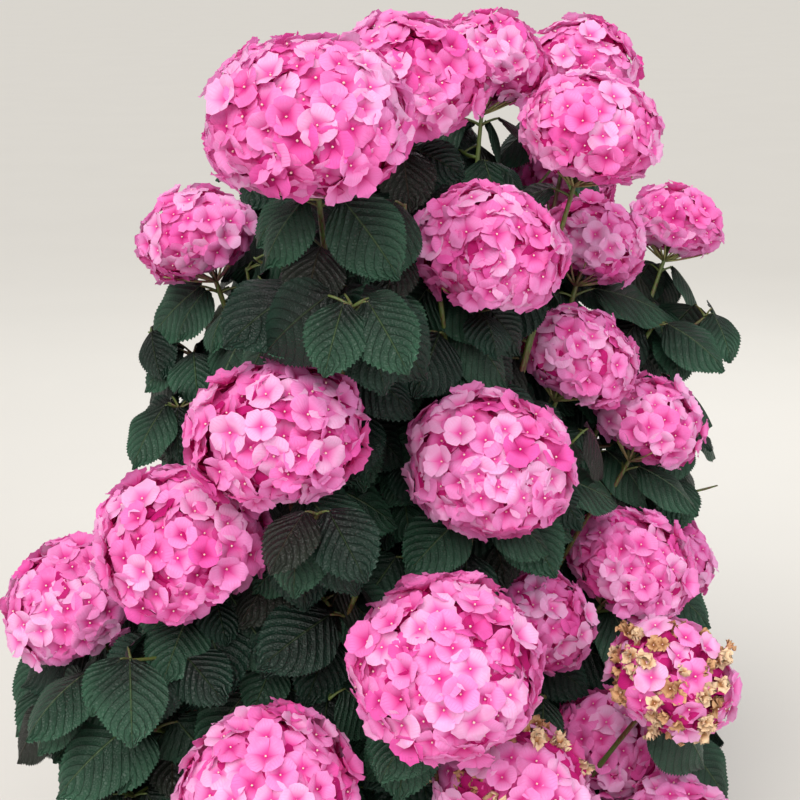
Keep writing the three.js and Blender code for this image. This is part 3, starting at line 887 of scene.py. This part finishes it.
# %% A batch of copies that becomes one mesh
class Batch:
    """Copies of shapes, gathered as arrays and written out as one mesh."""

    def __init__(self):
        self.verts, self.corners, self.sizes, self.slots, self.uvs = [], [], [], [], []
        self.count = 0

    def add(self, shape, verts, slots):
        """verts: copies x points x 3, in mm. slots: copies x faces, or one number."""
        copies, points = verts.shape[:2]
        first = self.count + points * np.arange(copies)[:, None]
        self.verts.append(verts.reshape(-1, 3))
        self.corners.append((first + shape.corners).ravel())
        self.sizes.append(np.tile(shape.sizes, copies))
        self.slots.append(np.broadcast_to(slots, (copies, len(shape.sizes))).ravel())
        self.uvs.append(np.tile(shape.uvs, (copies, 1)))
        self.count += copies * points

    def add_tube(self, tube, path, radii, slot, ridge=None):
        self.add(tube, lay_tube(tube, path, radii, ridge)[None], slot)

    def finish(self, name, materials, node_name):
        mesh = bpy.data.meshes.new(name)
        sizes = np.concatenate(self.sizes)
        mesh.vertices.add(self.count)
        mesh.vertices.foreach_set("co", (np.concatenate(self.verts) * MM).ravel())
        corners = np.concatenate(self.corners)
        mesh.loops.add(len(corners))
        mesh.loops.foreach_set("vertex_index", corners)
        mesh.polygons.add(len(sizes))
        mesh.polygons.foreach_set("loop_start", np.concatenate([[0], np.cumsum(sizes)[:-1]]))
        mesh.polygons.foreach_set("material_index", np.concatenate(self.slots))
        layer = mesh.uv_layers.new(name="growth")
        layer.data.foreach_set("uv", np.concatenate(self.uvs).ravel())
        mesh.update(calc_edges=True)
        mesh.validate()
        return put_piece(name, mesh, materials, node_name)


print("a batch starts with", Batch().count, "points")


# %% Canes with ridges and swollen nodes
# Strips, knobs and waves are shares of the cane's radius: strips run up it, and five knobs are its nodes.
def cane_ridges(seed):
    rng = np.random.default_rng(seed)
    phase = rng.uniform(0, 2 * math.pi, 4)

    def ridge(around, share):
        strips = 0.05 * np.sin(5 * around + phase[0]) + 0.035 * np.sin(8 * around + 9 * share + phase[1])
        knobs = 0.16 * np.exp(-((((share * 5 + phase[2]) % 1) - 0.5) ** 2) / 0.006)
        return 1 + strips + knobs + 0.03 * np.sin(31 * share + phase[3] + 3 * around)

    return ridge


triangles = 0
for number, mass in enumerate(MASSES):
    steps = steps_of(CANE_TUBE)
    radii = np.linspace(CANE_FOOT_RADIUS, CANE_TIP_RADIUS, steps + 1)
    batch = Batch()
    batch.add_tube(CANE_TUBE, points_on(mass.cane, steps), radii, 0, cane_ridges(number))
    triangles += batch.finish("bark_" + mass.name, [BARK], "cane_" + mass.name)
print("canes have", triangles, "triangles")

# %% [markdown]
# ## The stool
# The old foot is a squat stump with a flare. It is made as a pot is on a wheel: half its outline is spun
# round. Its surface is then pushed in and out by waves, which fade out towards the top, and by noise,
# which fades out towards the flat cut.


# %% The stool
ROUND_Z = {"axis": (0, 0, 1), "cent": (0, 0, 0)}
ROWS_PER_STEP = 4


def make_stool():
    bm = bmesh.new()
    rows = [(0.0, 0.0)]
    for (r0, z0), (r1, z1) in zip(STOOL_PROFILE, STOOL_PROFILE[1:]):
        for step in range(ROWS_PER_STEP):
            share = step / ROWS_PER_STEP
            rows.append((r0 + (r1 - r0) * share, z0 + (z1 - z0) * share))
    rows += [STOOL_PROFILE[-1], (0.0, STOOL_PROFILE[-1][1])]
    verts = [bmesh.ops.create_vert(bm, co=(r * MM, 0, z * MM))["vert"][0] for r, z in rows]
    edges = [bm.edges.new(pair) for pair in zip(verts, verts[1:])]
    bmesh.ops.spin(bm, geom=verts + edges, **ROUND_Z, angle=2 * math.pi, steps=56, use_merge=True)
    bmesh.ops.remove_doubles(bm, verts=bm.verts[:], dist=1e-6)
    bmesh.ops.recalc_face_normals(bm, faces=bm.faces[:])
    for vert in bm.verts:
        height = vert.co.z
        if height < 1e-6 or math.hypot(vert.co.x, vert.co.y) < 1e-6:
            continue
        # Lobes fade out towards the top and burrs towards the flat cut; both are shares of the radius.
        around = math.atan2(vert.co.y, vert.co.x)
        lobes = 0.05 * math.sin(5 * around + 0.6) + 0.03 * math.sin(9 * around)
        burrs = 0.09 * noise.noise(vert.co * 38) + 0.05 * noise.noise(vert.co * Vector((110, 110, 40)))
        vert.co.xy *= 1 + lobes * (1 - height / 0.12) + burrs * min(1, height / 0.02)
    return put_piece("bark_stool", mesh_from(bm, "bark_stool"), [BARK], "stool")


print("stool has", make_stool(), "triangles")

# %% [markdown]
# ## Green shoots and leaf stalks
# This year's wood is green and smooth, with red-brown flecks that run lengthwise and gather in patches.
# A leaf stalk is the same, but yellower. Both have a soft waxy sheen.


# %% The shoot material
def flecked_green_shoot(name, green_hex, flush_hex):
    material, tree = new_material(name)
    # Flecks are 1 to 2 mm wide and three times as long.
    flecks = cloudy(tree, place_in(tree, 0.33), 420.0, 2.0)
    both = maths(tree, "MULTIPLY", flecks, cloudy(tree, place_in(tree), 16.0, 2.0))
    share = node(tree, "MapRange", {}, {"Value": both, "From Min": 0.22, "From Max": 0.36}).outputs[0]
    bump = bumped(tree, flecks, 0.3, 0.0004)
    surface(tree, mixed(tree, share, green_hex, flush_hex), 0.48, Normal=bump)
    return material


SHOOT = flecked_green_shoot("waxy_green_shoot", "#56692F", "#5E3226")
STALK = flecked_green_shoot("waxy_leaf_stalk", "#526330", "#573826")
print("made", SHOOT.name, "and", STALK.name)


# %% Shoots, leafy twigs and leaf stalks
NODE_SWELLING = 0.28
NODE_HALF_LENGTH = 7
PETIOLE_RADIUS = 2.1
PETIOLE_TAPER = np.array([1.3, 1.0, 0.85, 0.85, 0.6])
STEM_SUNK_IN_FORK = 3


def swollen_nodes(twig, length, steps):
    below = (1 - np.linspace(0, 1, steps + 1)) * length - twig.bare_tip
    near_node = np.abs((below + PAIR_GAP / 2) % PAIR_GAP - PAIR_GAP / 2)
    return 1 + NODE_SWELLING * np.exp(-((near_node / NODE_HALF_LENGTH) ** 2)) * (below > -5)


def stalk_path(leaf):
    overlap = leaf.length * 0.02
    middle = (leaf.node + leaf.base) / 2 + UP * overlap
    return points_on((leaf.node, middle, leaf.base + leaf.along * overlap), steps_of(STALK_TUBE))


def dress_shoots(mass):
    batch = Batch()
    foot = mass.cane[2] + mass.way * JOINT_GAP
    steps = steps_of(TWIG_TUBE)
    stem = np.linspace(foot, mass.fork + mass.way * STEM_SUNK_IN_FORK, steps + 1)
    swell = np.linspace(CANE_TIP_RADIUS, MASS_STEM_NODE_RADIUS, steps + 1)
    # The stem's last two rings draw in, so that it ends in a rounded knot.
    swell[-2:] *= (0.93, 0.7)
    batch.add_tube(TWIG_TUBE, stem, swell, 0)
    for twig in mass.twigs:
        length = math.dist(twig.curve[0], twig.curve[2])
        radii = np.linspace(SHOOT_RADIUS * 1.1, SHOOT_TIP_RADIUS * 0.85, steps + 1)
        radii = radii * swollen_nodes(twig, length, steps)
        batch.add_tube(TWIG_TUBE, points_on(twig.curve, steps), radii, 1)
    for twig in mass.side_twigs:
        radii = np.linspace(*SIDE_TWIG_RADII, steps + 1)
        radii[-1] *= 0.6
        batch.add_tube(TWIG_TUBE, points_on(twig.curve, steps), radii, 1)
    for leaf in mass.leaves:
        radii = PETIOLE_RADIUS * math.sqrt(leaf.length / LEAF_LENGTH) * PETIOLE_TAPER
        batch.add_tube(STALK_TUBE, stalk_path(leaf), radii, 2)
    return batch.finish("shoots_" + mass.name, [BARK, SHOOT, STALK], "mass_" + mass.name)


print("shoots have", sum(dress_shoots(mass) for mass in MASSES), "triangles")

# %% [markdown]
# ## Leaf blades
# A blade is broad and nearly round, with a short sharp tip, small even teeth and arching side veins that
# lie sunk, so the blade swells between them. A grid gives the blade. Each edge along its margin is cut in
# four, and the first and third new points are pushed out and forward as teeth. Veins and swellings come
# from the blade's own UV map, as bumps up to 2 mm deep. Small leaves get a blade with fewer faces.


# %% The blade's shape
LAST_TOOTH = 0.96
TOOTH_FORWARD = 0.2
TOOTH_OUT = 0.25
PLAINER_BLADE_BELOW = LEAF_LENGTH * 0.6
SMALL_LEAF_BELOW = LEAF_LENGTH / 2


def leaf_half_width(along):
    if not 0 < along < 1:
        return 0.003
    egg = 0.41 * math.sin(math.pi * along**0.78) ** 0.72
    drawn_out = 1 - 0.24 * along**6 - 0.3 * math.exp(-(((along - 0.93) / 0.05) ** 2))
    return max(egg * drawn_out, 0.003)


def leaf_lift(along, across, fold, curl, wave):
    bend = LEAF_CAMBER * math.sin(math.pi * min(1, along)) * 1.2 + curl * along**2.2
    margin = abs(across) / max(leaf_half_width(along), 0.03)
    ripple = wave * math.sin(along * 15 + (2 if across > 0 else 0)) * min(margin, 1) ** 2
    return bend - fold * abs(across) - 0.045 * min(margin, 1) ** 2 + ripple


def leaf_shape(fold, curl, wave, stations):
    bm = bmesh.new()
    uv_layer = bm.loops.layers.uv.new("growth")
    bmesh.ops.create_grid(bm, x_segments=stations, y_segments=4, size=0.5)
    margin = [edge for edge in bm.edges if all(abs(abs(vert.co.y) - 0.5) < 1e-6 for vert in edge.verts)]
    bmesh.ops.subdivide_edges(bm, edges=margin, cuts=3)
    growth = {}
    for vert in bm.verts:
        along, across = vert.co.x + 0.5, vert.co.y * 2
        growth[vert] = (across / 2 + 0.5, along)
        half = leaf_half_width(min(max(along, 0.012), 0.997))
        quarter = round(along * stations * 4) % 4
        if abs(across) > 0.999 and quarter in (1, 3) and along < LAST_TOOTH:
            along += TOOTH_FORWARD / stations
            half += TOOTH_OUT / stations
        y = across * half
        vert.co = (along, y, leaf_lift(along, y, fold, curl, wave))
    write_growth(bm, uv_layer, growth)
    return shape_from(bm)


# Four bends of the blade: its fold along the midrib, the droop of its tip and the wave of its margin.
BENDS = [(0.10, -0.09, 0.012), (0.22, -0.15, 0.016), (0.05, -0.06, 0.02), (0.30, -0.2, 0.01)]
LARGE_LEAVES = [leaf_shape(*bend, stations=14) for bend in BENDS]
SMALL_LEAVES = [leaf_shape(*bend, stations=9) for bend in BENDS]
print("blades have", len(LARGE_LEAVES[0].sizes), "or", len(SMALL_LEAVES[0].sizes), "faces")


# %% The blade's material
def veined_blade(name, foot_hex, dark_hex, pale_hex, rib_hex):
    material, tree = new_material(name)
    parts = node(tree, "SeparateXYZ", {}, {"Vector": node(tree, "TexCoord").outputs["UV"]})
    place = place_in(tree)
    along = parts.outputs["Y"]
    across = maths(tree, "ABSOLUTE", maths(tree, "MULTIPLY_ADD", parts.outputs["X"], 2.0, -1.0))
    # Eight pairs of side veins, about 15 mm apart, that arch forward towards the margin.
    arch = maths(tree, "MULTIPLY", maths(tree, "POWER", across, 1.2), 2.9)
    gap = maths(tree, "PINGPONG", maths(tree, "SUBTRACT", maths(tree, "MULTIPLY", along, 8.5), arch), 0.5)
    midrib = fading(tree, across, 0.045)
    swelling = maths(tree, "POWER", maths(tree, "MULTIPLY", gap, 2.0), 0.5)
    # The finest net of veins has cells of 1 to 2 mm, drawn at 3 mm so that it shows.
    net = node(tree, "TexVoronoi", {"feature": "DISTANCE_TO_EDGE"}, {"Vector": place, "Scale": 340.0})
    crinkle = maths(tree, "MULTIPLY", maths(tree, "MINIMUM", net.outputs["Distance"], 0.25), 0.9)
    blotch = cloudy(tree, place, 26.0, 4.0)
    # The blade is darkest at its foot and palest towards its tip and margin, as painted shade and painted
    # light that follow the blade's arch.
    margin = maths(tree, "MULTIPLY", maths(tree, "POWER", across, 2.0), 0.35)
    reach = maths(tree, "ADD", maths(tree, "MULTIPLY", along, 0.55), margin)
    uneven = maths(tree, "MULTIPLY", maths(tree, "SUBTRACT", blotch, 0.5), 0.9)
    green = mixed(tree, maths(tree, "ADD", reach, uneven, clamp=True), dark_hex, pale_hex)
    from_foot = maths(tree, "ADD", along, maths(tree, "MULTIPLY", blotch, 0.4))
    # The share of painted shade that darkens the foot of the blade.
    flush = maths(tree, "MULTIPLY", fading(tree, from_foot, 0.55), 0.85)
    foot_shaded = mixed(tree, flush, green, foot_hex)
    # The sunk veins get the near-black foot colour, as painted shade in their creases.
    vein_shaded = mixed(tree, maths(tree, "MULTIPLY", fading(tree, gap, 0.08), 0.55), foot_shaded, foot_hex)
    tint = mixed(tree, maths(tree, "MULTIPLY", midrib, 0.45), vein_shaded, rib_hex)
    hollows = maths(tree, "SUBTRACT", swelling, maths(tree, "MULTIPLY", midrib, 0.8))
    bump = bumped(tree, maths(tree, "ADD", hollows, crinkle), 1.0, 0.002)
    surface(tree, tint, 0.42, 0.3, 0.07, Normal=bump)
    return material


# Painted shade: all the greens are darker than a lit leaf. The shade-darkened blade is a darker copy of the
# green one, and the maroon blade is nearly black, with a painted reflection of the pink heads.
BLADES = [
    veined_blade("leathery_shade_darkened_blade", "#050505", "#080F0C", "#1C3A2D", "#3F5030"),
    veined_blade("leathery_green_blade", "#080C09", "#102219", "#365E48", "#62764A"),
    veined_blade("young_yellow_green_blade", "#1A2C12", "#2A441C", "#5A7834", "#7F924B"),
    veined_blade("shaded_maroon_reflection_blade", "#0C0507", "#13100D", "#252F26", "#483F2A"),
]
print("made", [blade.name for blade in BLADES])


# %% Leaves on their places
# The finishes' shares, in the order of BLADES, for small leaves and for the pairs below a head. The first
# pair is the youngest and greenest; those further down lie in the shade and get more of the darker
# blades, as painted shade.
SMALL_LEAF_ODDS = (0.55, 0.35, 0.04, 0.06)
PAIR_ODDS = [(0.15, 0.78, 0.0, 0.07), (0.5, 0.4, 0.0, 0.1), (0.82, 0.06, 0.0, 0.12)]


def dress_leaves(mass, seed):
    rng = np.random.default_rng(seed)
    batch = Batch()
    for leaf in mass.leaves:
        shapes = LARGE_LEAVES if leaf.length > PLAINER_BLADE_BELOW else SMALL_LEAVES
        shape = shapes[rng.integers(len(BENDS))]
        frame_of_leaf = np.array([leaf.along, leaf.side, leaf.normal]) * leaf.length
        verts = leaf.base + shape.verts @ frame_of_leaf
        odds = SMALL_LEAF_ODDS if leaf.length < SMALL_LEAF_BELOW else PAIR_ODDS[min(leaf.pair, 2)]
        batch.add(shape, verts[None], rng.choice(len(BLADES), p=odds))
    return batch.finish("leaves_" + mass.name, BLADES, "mass_" + mass.name)


print("leaves have", sum(dress_leaves(mass, 11 + n) for n, mass in enumerate(MASSES)), "triangles")

# %% [markdown]
# ## Florets
# A head is built of florets about 35 to 45 mm across, larger on larger heads. What look like petals are
# four broad sepals that overlap round a small pale bud. One sepal is a small grid, shaped by its rows, and
# a spin repeats it three times.
# Each sepal is then pitched a little on its own, and every second one is lifted over its neighbours. A
# withered floret is the same, with narrow sepals that have curled up and crumpled.

# %% The floret's shape
SEPAL_ROWS = [
    # How far out the row lies, half its width and its height, as shares of the floret's size.
    (0.02, 0.05, 0.0),
    (0.14, 0.2, 0.035),
    (0.28, 0.305, 0.065),
    (0.4, 0.275, 0.07),
    (0.475, 0.145, 0.05),
]
SEPAL_TIP = 0.045
SEPAL_HOLLOW = 0.045
SEPAL_OVERLAP = 0.03
BUD_RADIUS = 0.036


def floret_shape(seed, pitch, crumple=0.02, curl=0.0, simple=False):
    rng = np.random.default_rng(seed)
    rows = SEPAL_ROWS[::2] if simple else SEPAL_ROWS
    last = len(rows) - 1
    bm = bmesh.new()
    uv_layer = bm.loops.layers.uv.new("growth")
    bmesh.ops.create_grid(bm, x_segments=last, y_segments=2, size=0.5)
    growth = {}
    for vert in bm.verts:
        row = round((vert.co.x + 0.5) * last)
        across = vert.co.y * 2
        out, half, high = rows[row]
        growth[vert] = (vert.co.y + 0.5, row / last)
        if row == last:
            out += SEPAL_TIP * (1 - abs(across))
        vert.co = (out, across * half, high - SEPAL_HOLLOW * abs(across) * (row > 0))
    write_growth(bm, uv_layer, growth)
    geom = bm.verts[:] + bm.edges[:] + bm.faces[:]
    quarter = math.pi / 2
    bmesh.ops.spin(bm, geom=geom, **ROUND_Z, angle=3 * quarter, steps=3, use_duplicate=True)
    pitches = pitch + rng.uniform(-0.2, 0.2, 4)
    for vert in bm.verts:
        turn = round(math.atan2(vert.co.y, vert.co.x) / quarter) % 4
        reach = math.hypot(vert.co.x, vert.co.y)
        vert.co.z += pitches[turn] * reach + SEPAL_OVERLAP * (turn % 2) * min(1, reach * 5)
        if reach > 0.1:
            vert.co.z += rng.uniform(-crumple, crumple)
            vert.co.xy *= 1 + rng.uniform(-1.6, 1.6) * crumple - 0.3 * max(pitches[turn], 0) - curl * reach
    if not simple:
        lift = Matrix.Translation((0, 0, 0.03))
        bud = bmesh.ops.create_uvsphere(bm, u_segments=4, v_segments=3, radius=BUD_RADIUS, matrix=lift)
        for face in {face for vert in bud["verts"] for face in vert.link_faces}:
            face.material_index = 1
    return shape_from(bm)


FLORET_PITCHES = [0.05, 0.25, -0.15, 0.12, 0.4, -0.05]
FLORETS = [floret_shape(1 + number, pitch) for number, pitch in enumerate(FLORET_PITCHES)]
INNER_FLORETS = [floret_shape(seed, 0.02, simple=True) for seed in (7, 8)]
WITHERED_PITCHES = [0.5, 0.1, 0.9, -0.3, 0.3]
WITHERED_FLORETS = [
    floret_shape(9 + number, pitch, crumple=0.13, curl=0.75) for number, pitch in enumerate(WITHERED_PITCHES)
]
print("a floret has", len(FLORETS[0].sizes), "faces, an inner one", len(INNER_FLORETS[0].sizes))

# %% [markdown]
# ## Sepal, bud and withered sepal
# A sepal is thin and matt, and some light comes through it, so a translucent share is mixed in. It is
# deepest at its foot and paler at its rim, with fine veins that fan out; the deep foot is partly its own
# colour and partly painted shade in the floret's hollow, and the pale rim partly painted light. Several
# pinks are dealt out floret by floret, as on a real head. The crimson sepals and the dark heart are
# painted shade for the inside of a head. A withered sepal is papery and tan.


# %% The sepal materials
def thin_sepal(name, rim_hex, foot_hex, through=0.28, roughness=0.6):
    material, tree = new_material(name)
    parts = node(tree, "SeparateXYZ", {}, {"Vector": node(tree, "TexCoord").outputs["UV"]})
    # Seven veins fan out from the foot, 2 to 3 mm apart near the rim.
    gap = maths(tree, "PINGPONG", maths(tree, "MULTIPLY", parts.outputs["X"], 7.0), 0.5)
    # The deep foot and veins are partly the sepal's own colour and partly painted shade; the pale rim is
    # partly painted light.
    deep = maths(tree, "MAXIMUM", fading(tree, parts.outputs["Y"], 0.62), fading(tree, gap, 0.22, 0.24))
    mottle = {"Value": cloudy(tree, place_in(tree), 90.0), "From Min": 0.4, "From Max": 0.75, "To Max": 0.3}
    share = maths(tree, "MAXIMUM", deep, node(tree, "MapRange", {}, mottle).outputs[0])
    bump = bumped(tree, gap, 0.35, 0.0006)
    surface(tree, mixed(tree, share, rim_hex, foot_hex), roughness, 0.18, through, Normal=bump)
    return material


def speckled(name, pale_hex, deep_hex, scale, roughness):
    material, tree = new_material(name)
    speck = cloudy(tree, place_in(tree), scale)
    bump = bumped(tree, speck, 0.4, 0.0005)
    surface(tree, mixed(tree, speck, pale_hex, deep_hex), roughness, Normal=bump)
    return material


BLOOM_FINISHES = [
    thin_sepal("thin_pink_sepal", "#FFA2E2", "#E838A0"),
    thin_sepal("thin_light_pink_sepal", "#FFC4F0", "#F256B4"),
    thin_sepal("thin_rose_sepal", "#FE8AD4", "#DE2A90"),
    thin_sepal("thin_deep_pink_sepal", "#FA6CC4", "#CC1A7E"),
    # Painted shade: deep crimson for the inner florets, as the gaps between florets look in shadow.
    thin_sepal("painted_shade_crimson_sepal", "#CC2080", "#8E064A", 0.3),
    thin_sepal("papery_tan_sepal", "#DEB084", "#8C5832", 0.12, 0.85),
    thin_sepal("papery_buff_sepal", "#F2D6B2", "#AA7242", 0.12, 0.85),
    speckled("waxy_pale_bud", "#F9DCE2", "#EBBFA8", 700.0, 0.4),
    # Painted shade: a dark ball inside each head.
    speckled("painted_shade_heart", "#960F50", "#5E0632", 60.0, 0.8),
    flecked_green_shoot("waxy_floret_stalk", "#A7A96A", "#B0607A"),
]
PINKS, PAINTED_SHADE_CRIMSON, WITHERED, BUD, PAINTED_SHADE_HEART, FLORET_STALK = (0, 1, 2, 3), 4, (5, 6), 7, 8, 9
print("made", len(BLOOM_FINISHES), "finishes")

# %% [markdown]
# ## Heads
# Florets are set over a dome by the golden angle, which spaces them evenly without rows. Each faces
# outwards, tilted a little and turned at random. A second, plainer layer lies deeper, where only its
# edges show; it is painted deep crimson and deep pink as shade, and a dark heart of painted shade closes
# the last gaps. Thin stalks fan from the shoot to the rim. In a withered patch, three small crumpled
# florets take the place of each fresh one.

# %% Setting florets on a dome
GOLDEN_ANGLE = math.pi * (3 - math.sqrt(5))
LOWEST_FLORET = -0.82
FLORET_SPACING = 28
HEAD_LOBES = 8
LOBE_DEPTH = 0.13
LUMPINESS = 0.032
TILT_SPREAD = 0.17


def frame_of(axis):
    side = unit(np.cross(axis, VIEWER + UP * 0.01))
    return np.array([side, np.cross(axis, side), axis])


def scattered_ways(count, rng):
    return units(rng.normal(size=(count, 3)))


def on_dome(bloom, count, depth, lobes, rng):
    number = np.arange(count) + 0.5
    cosine = 1 - (1 - LOWEST_FLORET) * number / count
    sine = np.sqrt(1 - cosine**2)
    angle = GOLDEN_ANGLE * number + rng.uniform(0, 6.28)
    ball = np.column_stack([sine * np.cos(angle), sine * np.sin(angle), cosine])
    # A head is made of several branches, and each pushes its florets out as a lobe.
    lobe = (ball @ lobes.T).max(axis=1)
    lumps = 1 - LOBE_DEPTH * np.clip(1.1 - lobe, 0, 1) ** 1.2 + rng.normal(0.0, LUMPINESS, count)
    height = np.where(cosine > 0, BLOOM_TOP, BLOOM_UNDERSIDE)
    stretch = np.column_stack([np.ones(count), np.ones(count), height])
    normals = units(ball / stretch + rng.normal(0, TILT_SPREAD, (count, 3)))
    axes = frame_of(bloom.axis)
    return bloom.centre + (ball * stretch * lumps[:, None]) @ axes * (bloom.width / 2 - depth), normals @ axes


def set_florets(batch, shapes, places, normals, sizes, slots, rng):
    spin = rng.uniform(0, 2 * math.pi, len(places))
    start = units(np.cross(normals, UP + rng.normal(0, 0.3, (len(places), 3))))
    third = np.cross(normals, start)
    side = start * np.cos(spin)[:, None] + third * np.sin(spin)[:, None]
    other = np.cross(normals, side)
    which = rng.integers(len(shapes), size=len(places))
    for number, shape in enumerate(shapes):
        mine = np.flatnonzero(which == number)
        if not len(mine):
            continue
        local = shape.verts[None] * sizes[mine, None, None]
        verts = places[mine, None] + local[..., :1] * side[mine, None] + local[..., 1:2] * other[mine, None]
        verts = verts + local[..., 2:] * normals[mine, None]
        faces = np.where(shape.tags == 1, BUD, slots[mine, None])
        batch.add(shape, verts, faces)


def florets_on(width):
    return round(2 * math.pi * (1 - LOWEST_FLORET) * (width / 2 / FLORET_SPACING) ** 2)


print("a head 185 mm wide has", florets_on(185), "florets in its outer layer")


# %% One head
OUTER_LAYER_DEPTH = 8.0
INNER_LAYER_DEPTH = 17.0
INNER_LAYER_SHARE = 0.9
HEART_DEPTH = 20
LEAST_FLORET = 22
FLORET_PER_WIDTH = 0.095
FRESH_ODDS = (0.42, 0.28, 0.23, 0.07)
FADED_ODDS = (0.25, 0.65, 0.1, 0.0)
WITHERED_PATCHES = 9
PATCH_EDGE = 0.2
CRUMPLED_ROUNDS = 3
CRUMPLED_SHARE = 0.76
CRUMPLED_SCATTER = 4.0
CRUMPLED_TILT = 0.45
CRUMPLED_SUNK = 2
STALK_STEP = 0.42
STALK_HUB = 0.36
STALK_RIM = 0.4
STALK_RADII = (1.7, 0.9)


def heart_shape():
    bm = bmesh.new()
    bmesh.ops.create_icosphere(bm, subdivisions=2, radius=1.0)
    return shape_from(bm)


HEART_SHAPE = heart_shape()


def dress_bloom(batch, bloom, seed):
    rng = np.random.default_rng(seed)
    half = bloom.width / 2
    floret = LEAST_FLORET + FLORET_PER_WIDTH * bloom.width
    lobes = scattered_ways(HEAD_LOBES, rng)
    count = florets_on(bloom.width)
    places, normals = on_dome(bloom, count, OUTER_LAYER_DEPTH, lobes, rng)
    # Withering starts in a few patches and spreads, so it follows the distance from some places.
    patches = units(scattered_ways(WITHERED_PATCHES, rng) + VIEWER * 0.5 + UP * 0.4)
    nearness = ((places - bloom.centre) / half @ patches.T).max(axis=1) + rng.normal(0, PATCH_EDGE, count)
    dry = nearness > np.quantile(nearness, 1 - bloom.withered)
    sizes = floret * rng.uniform(0.9, 1.14, count)
    pinks = rng.choice(PINKS, size=count, p=FADED_ODDS if bloom.withered else FRESH_ODDS)
    set_florets(batch, FLORETS, places[~dry], normals[~dry], sizes[~dry], pinks[~dry], rng)
    tans = rng.choice(WITHERED, size=count)
    for _ in range(CRUMPLED_ROUNDS):
        sunk = places[dry] + rng.normal(0, CRUMPLED_SCATTER, (dry.sum(), 3)) - normals[dry] * CRUMPLED_SUNK
        turned_away = units(normals[dry] + rng.normal(0, CRUMPLED_TILT, (dry.sum(), 3)))
        set_florets(batch, WITHERED_FLORETS, sunk, turned_away, sizes[dry] * CRUMPLED_SHARE, tans[dry], rng)
    inner = round(count * INNER_LAYER_SHARE)
    places, normals = on_dome(bloom, inner, INNER_LAYER_DEPTH, lobes, rng)
    sizes = floret * rng.uniform(0.9, 1.1, inner)
    # Painted shade: the inner layer is deep crimson and deep pink, as the gaps between florets look in
    # shadow.
    shaded = rng.choice([PAINTED_SHADE_CRIMSON, PINKS[-1]], size=inner, p=[0.5, 0.5])
    set_florets(batch, INNER_FLORETS, places, normals, sizes, shaded, rng)
    # The heart is a dark ball of painted shade that closes the inside of the head.
    ball = HEART_SHAPE.verts.copy()
    ball[:, 2] *= np.where(ball[:, 2] > 0, BLOOM_TOP, BLOOM_UNDERSIDE)
    heart = ball @ frame_of(bloom.axis) * (half * 0.9 - HEART_DEPTH)
    batch.add(HEART_SHAPE, (bloom.centre + heart)[None], PAINTED_SHADE_HEART)


def dress_rim_stalks(batch, bloom, seed):
    rng = np.random.default_rng(seed)
    down = bloom.axis * bloom.width
    hub = bloom.centre - down * STALK_HUB
    axes = frame_of(bloom.axis)
    steps = steps_of(STALK_TUBE)
    for angle in np.arange(0, 2 * math.pi, STALK_STEP) + rng.uniform(0, 0.4):
        way = axes[0] * math.cos(angle) + axes[1] * math.sin(angle)
        rim = bloom.centre + way * bloom.width * STALK_RIM - down * rng.uniform(0.02, 0.16)
        knee = (hub + rim) / 2 - down * 0.03
        radii = np.linspace(*STALK_RADII, steps + 1)
        batch.add_tube(STALK_TUBE, points_on((hub, knee, rim), steps), radii, FLORET_STALK)


def dress_blooms(mass, seed):
    batch = Batch()
    for number, bloom in enumerate(mass.blooms):
        dress_bloom(batch, bloom, seed + number)
        dress_rim_stalks(batch, bloom, seed + number)
    return batch.finish("blooms_" + mass.name, BLOOM_FINISHES, "mass_" + mass.name)


print("blooms have", sum(dress_blooms(mass, 100 + 10 * n) for n, mass in enumerate(MASSES)), "triangles")
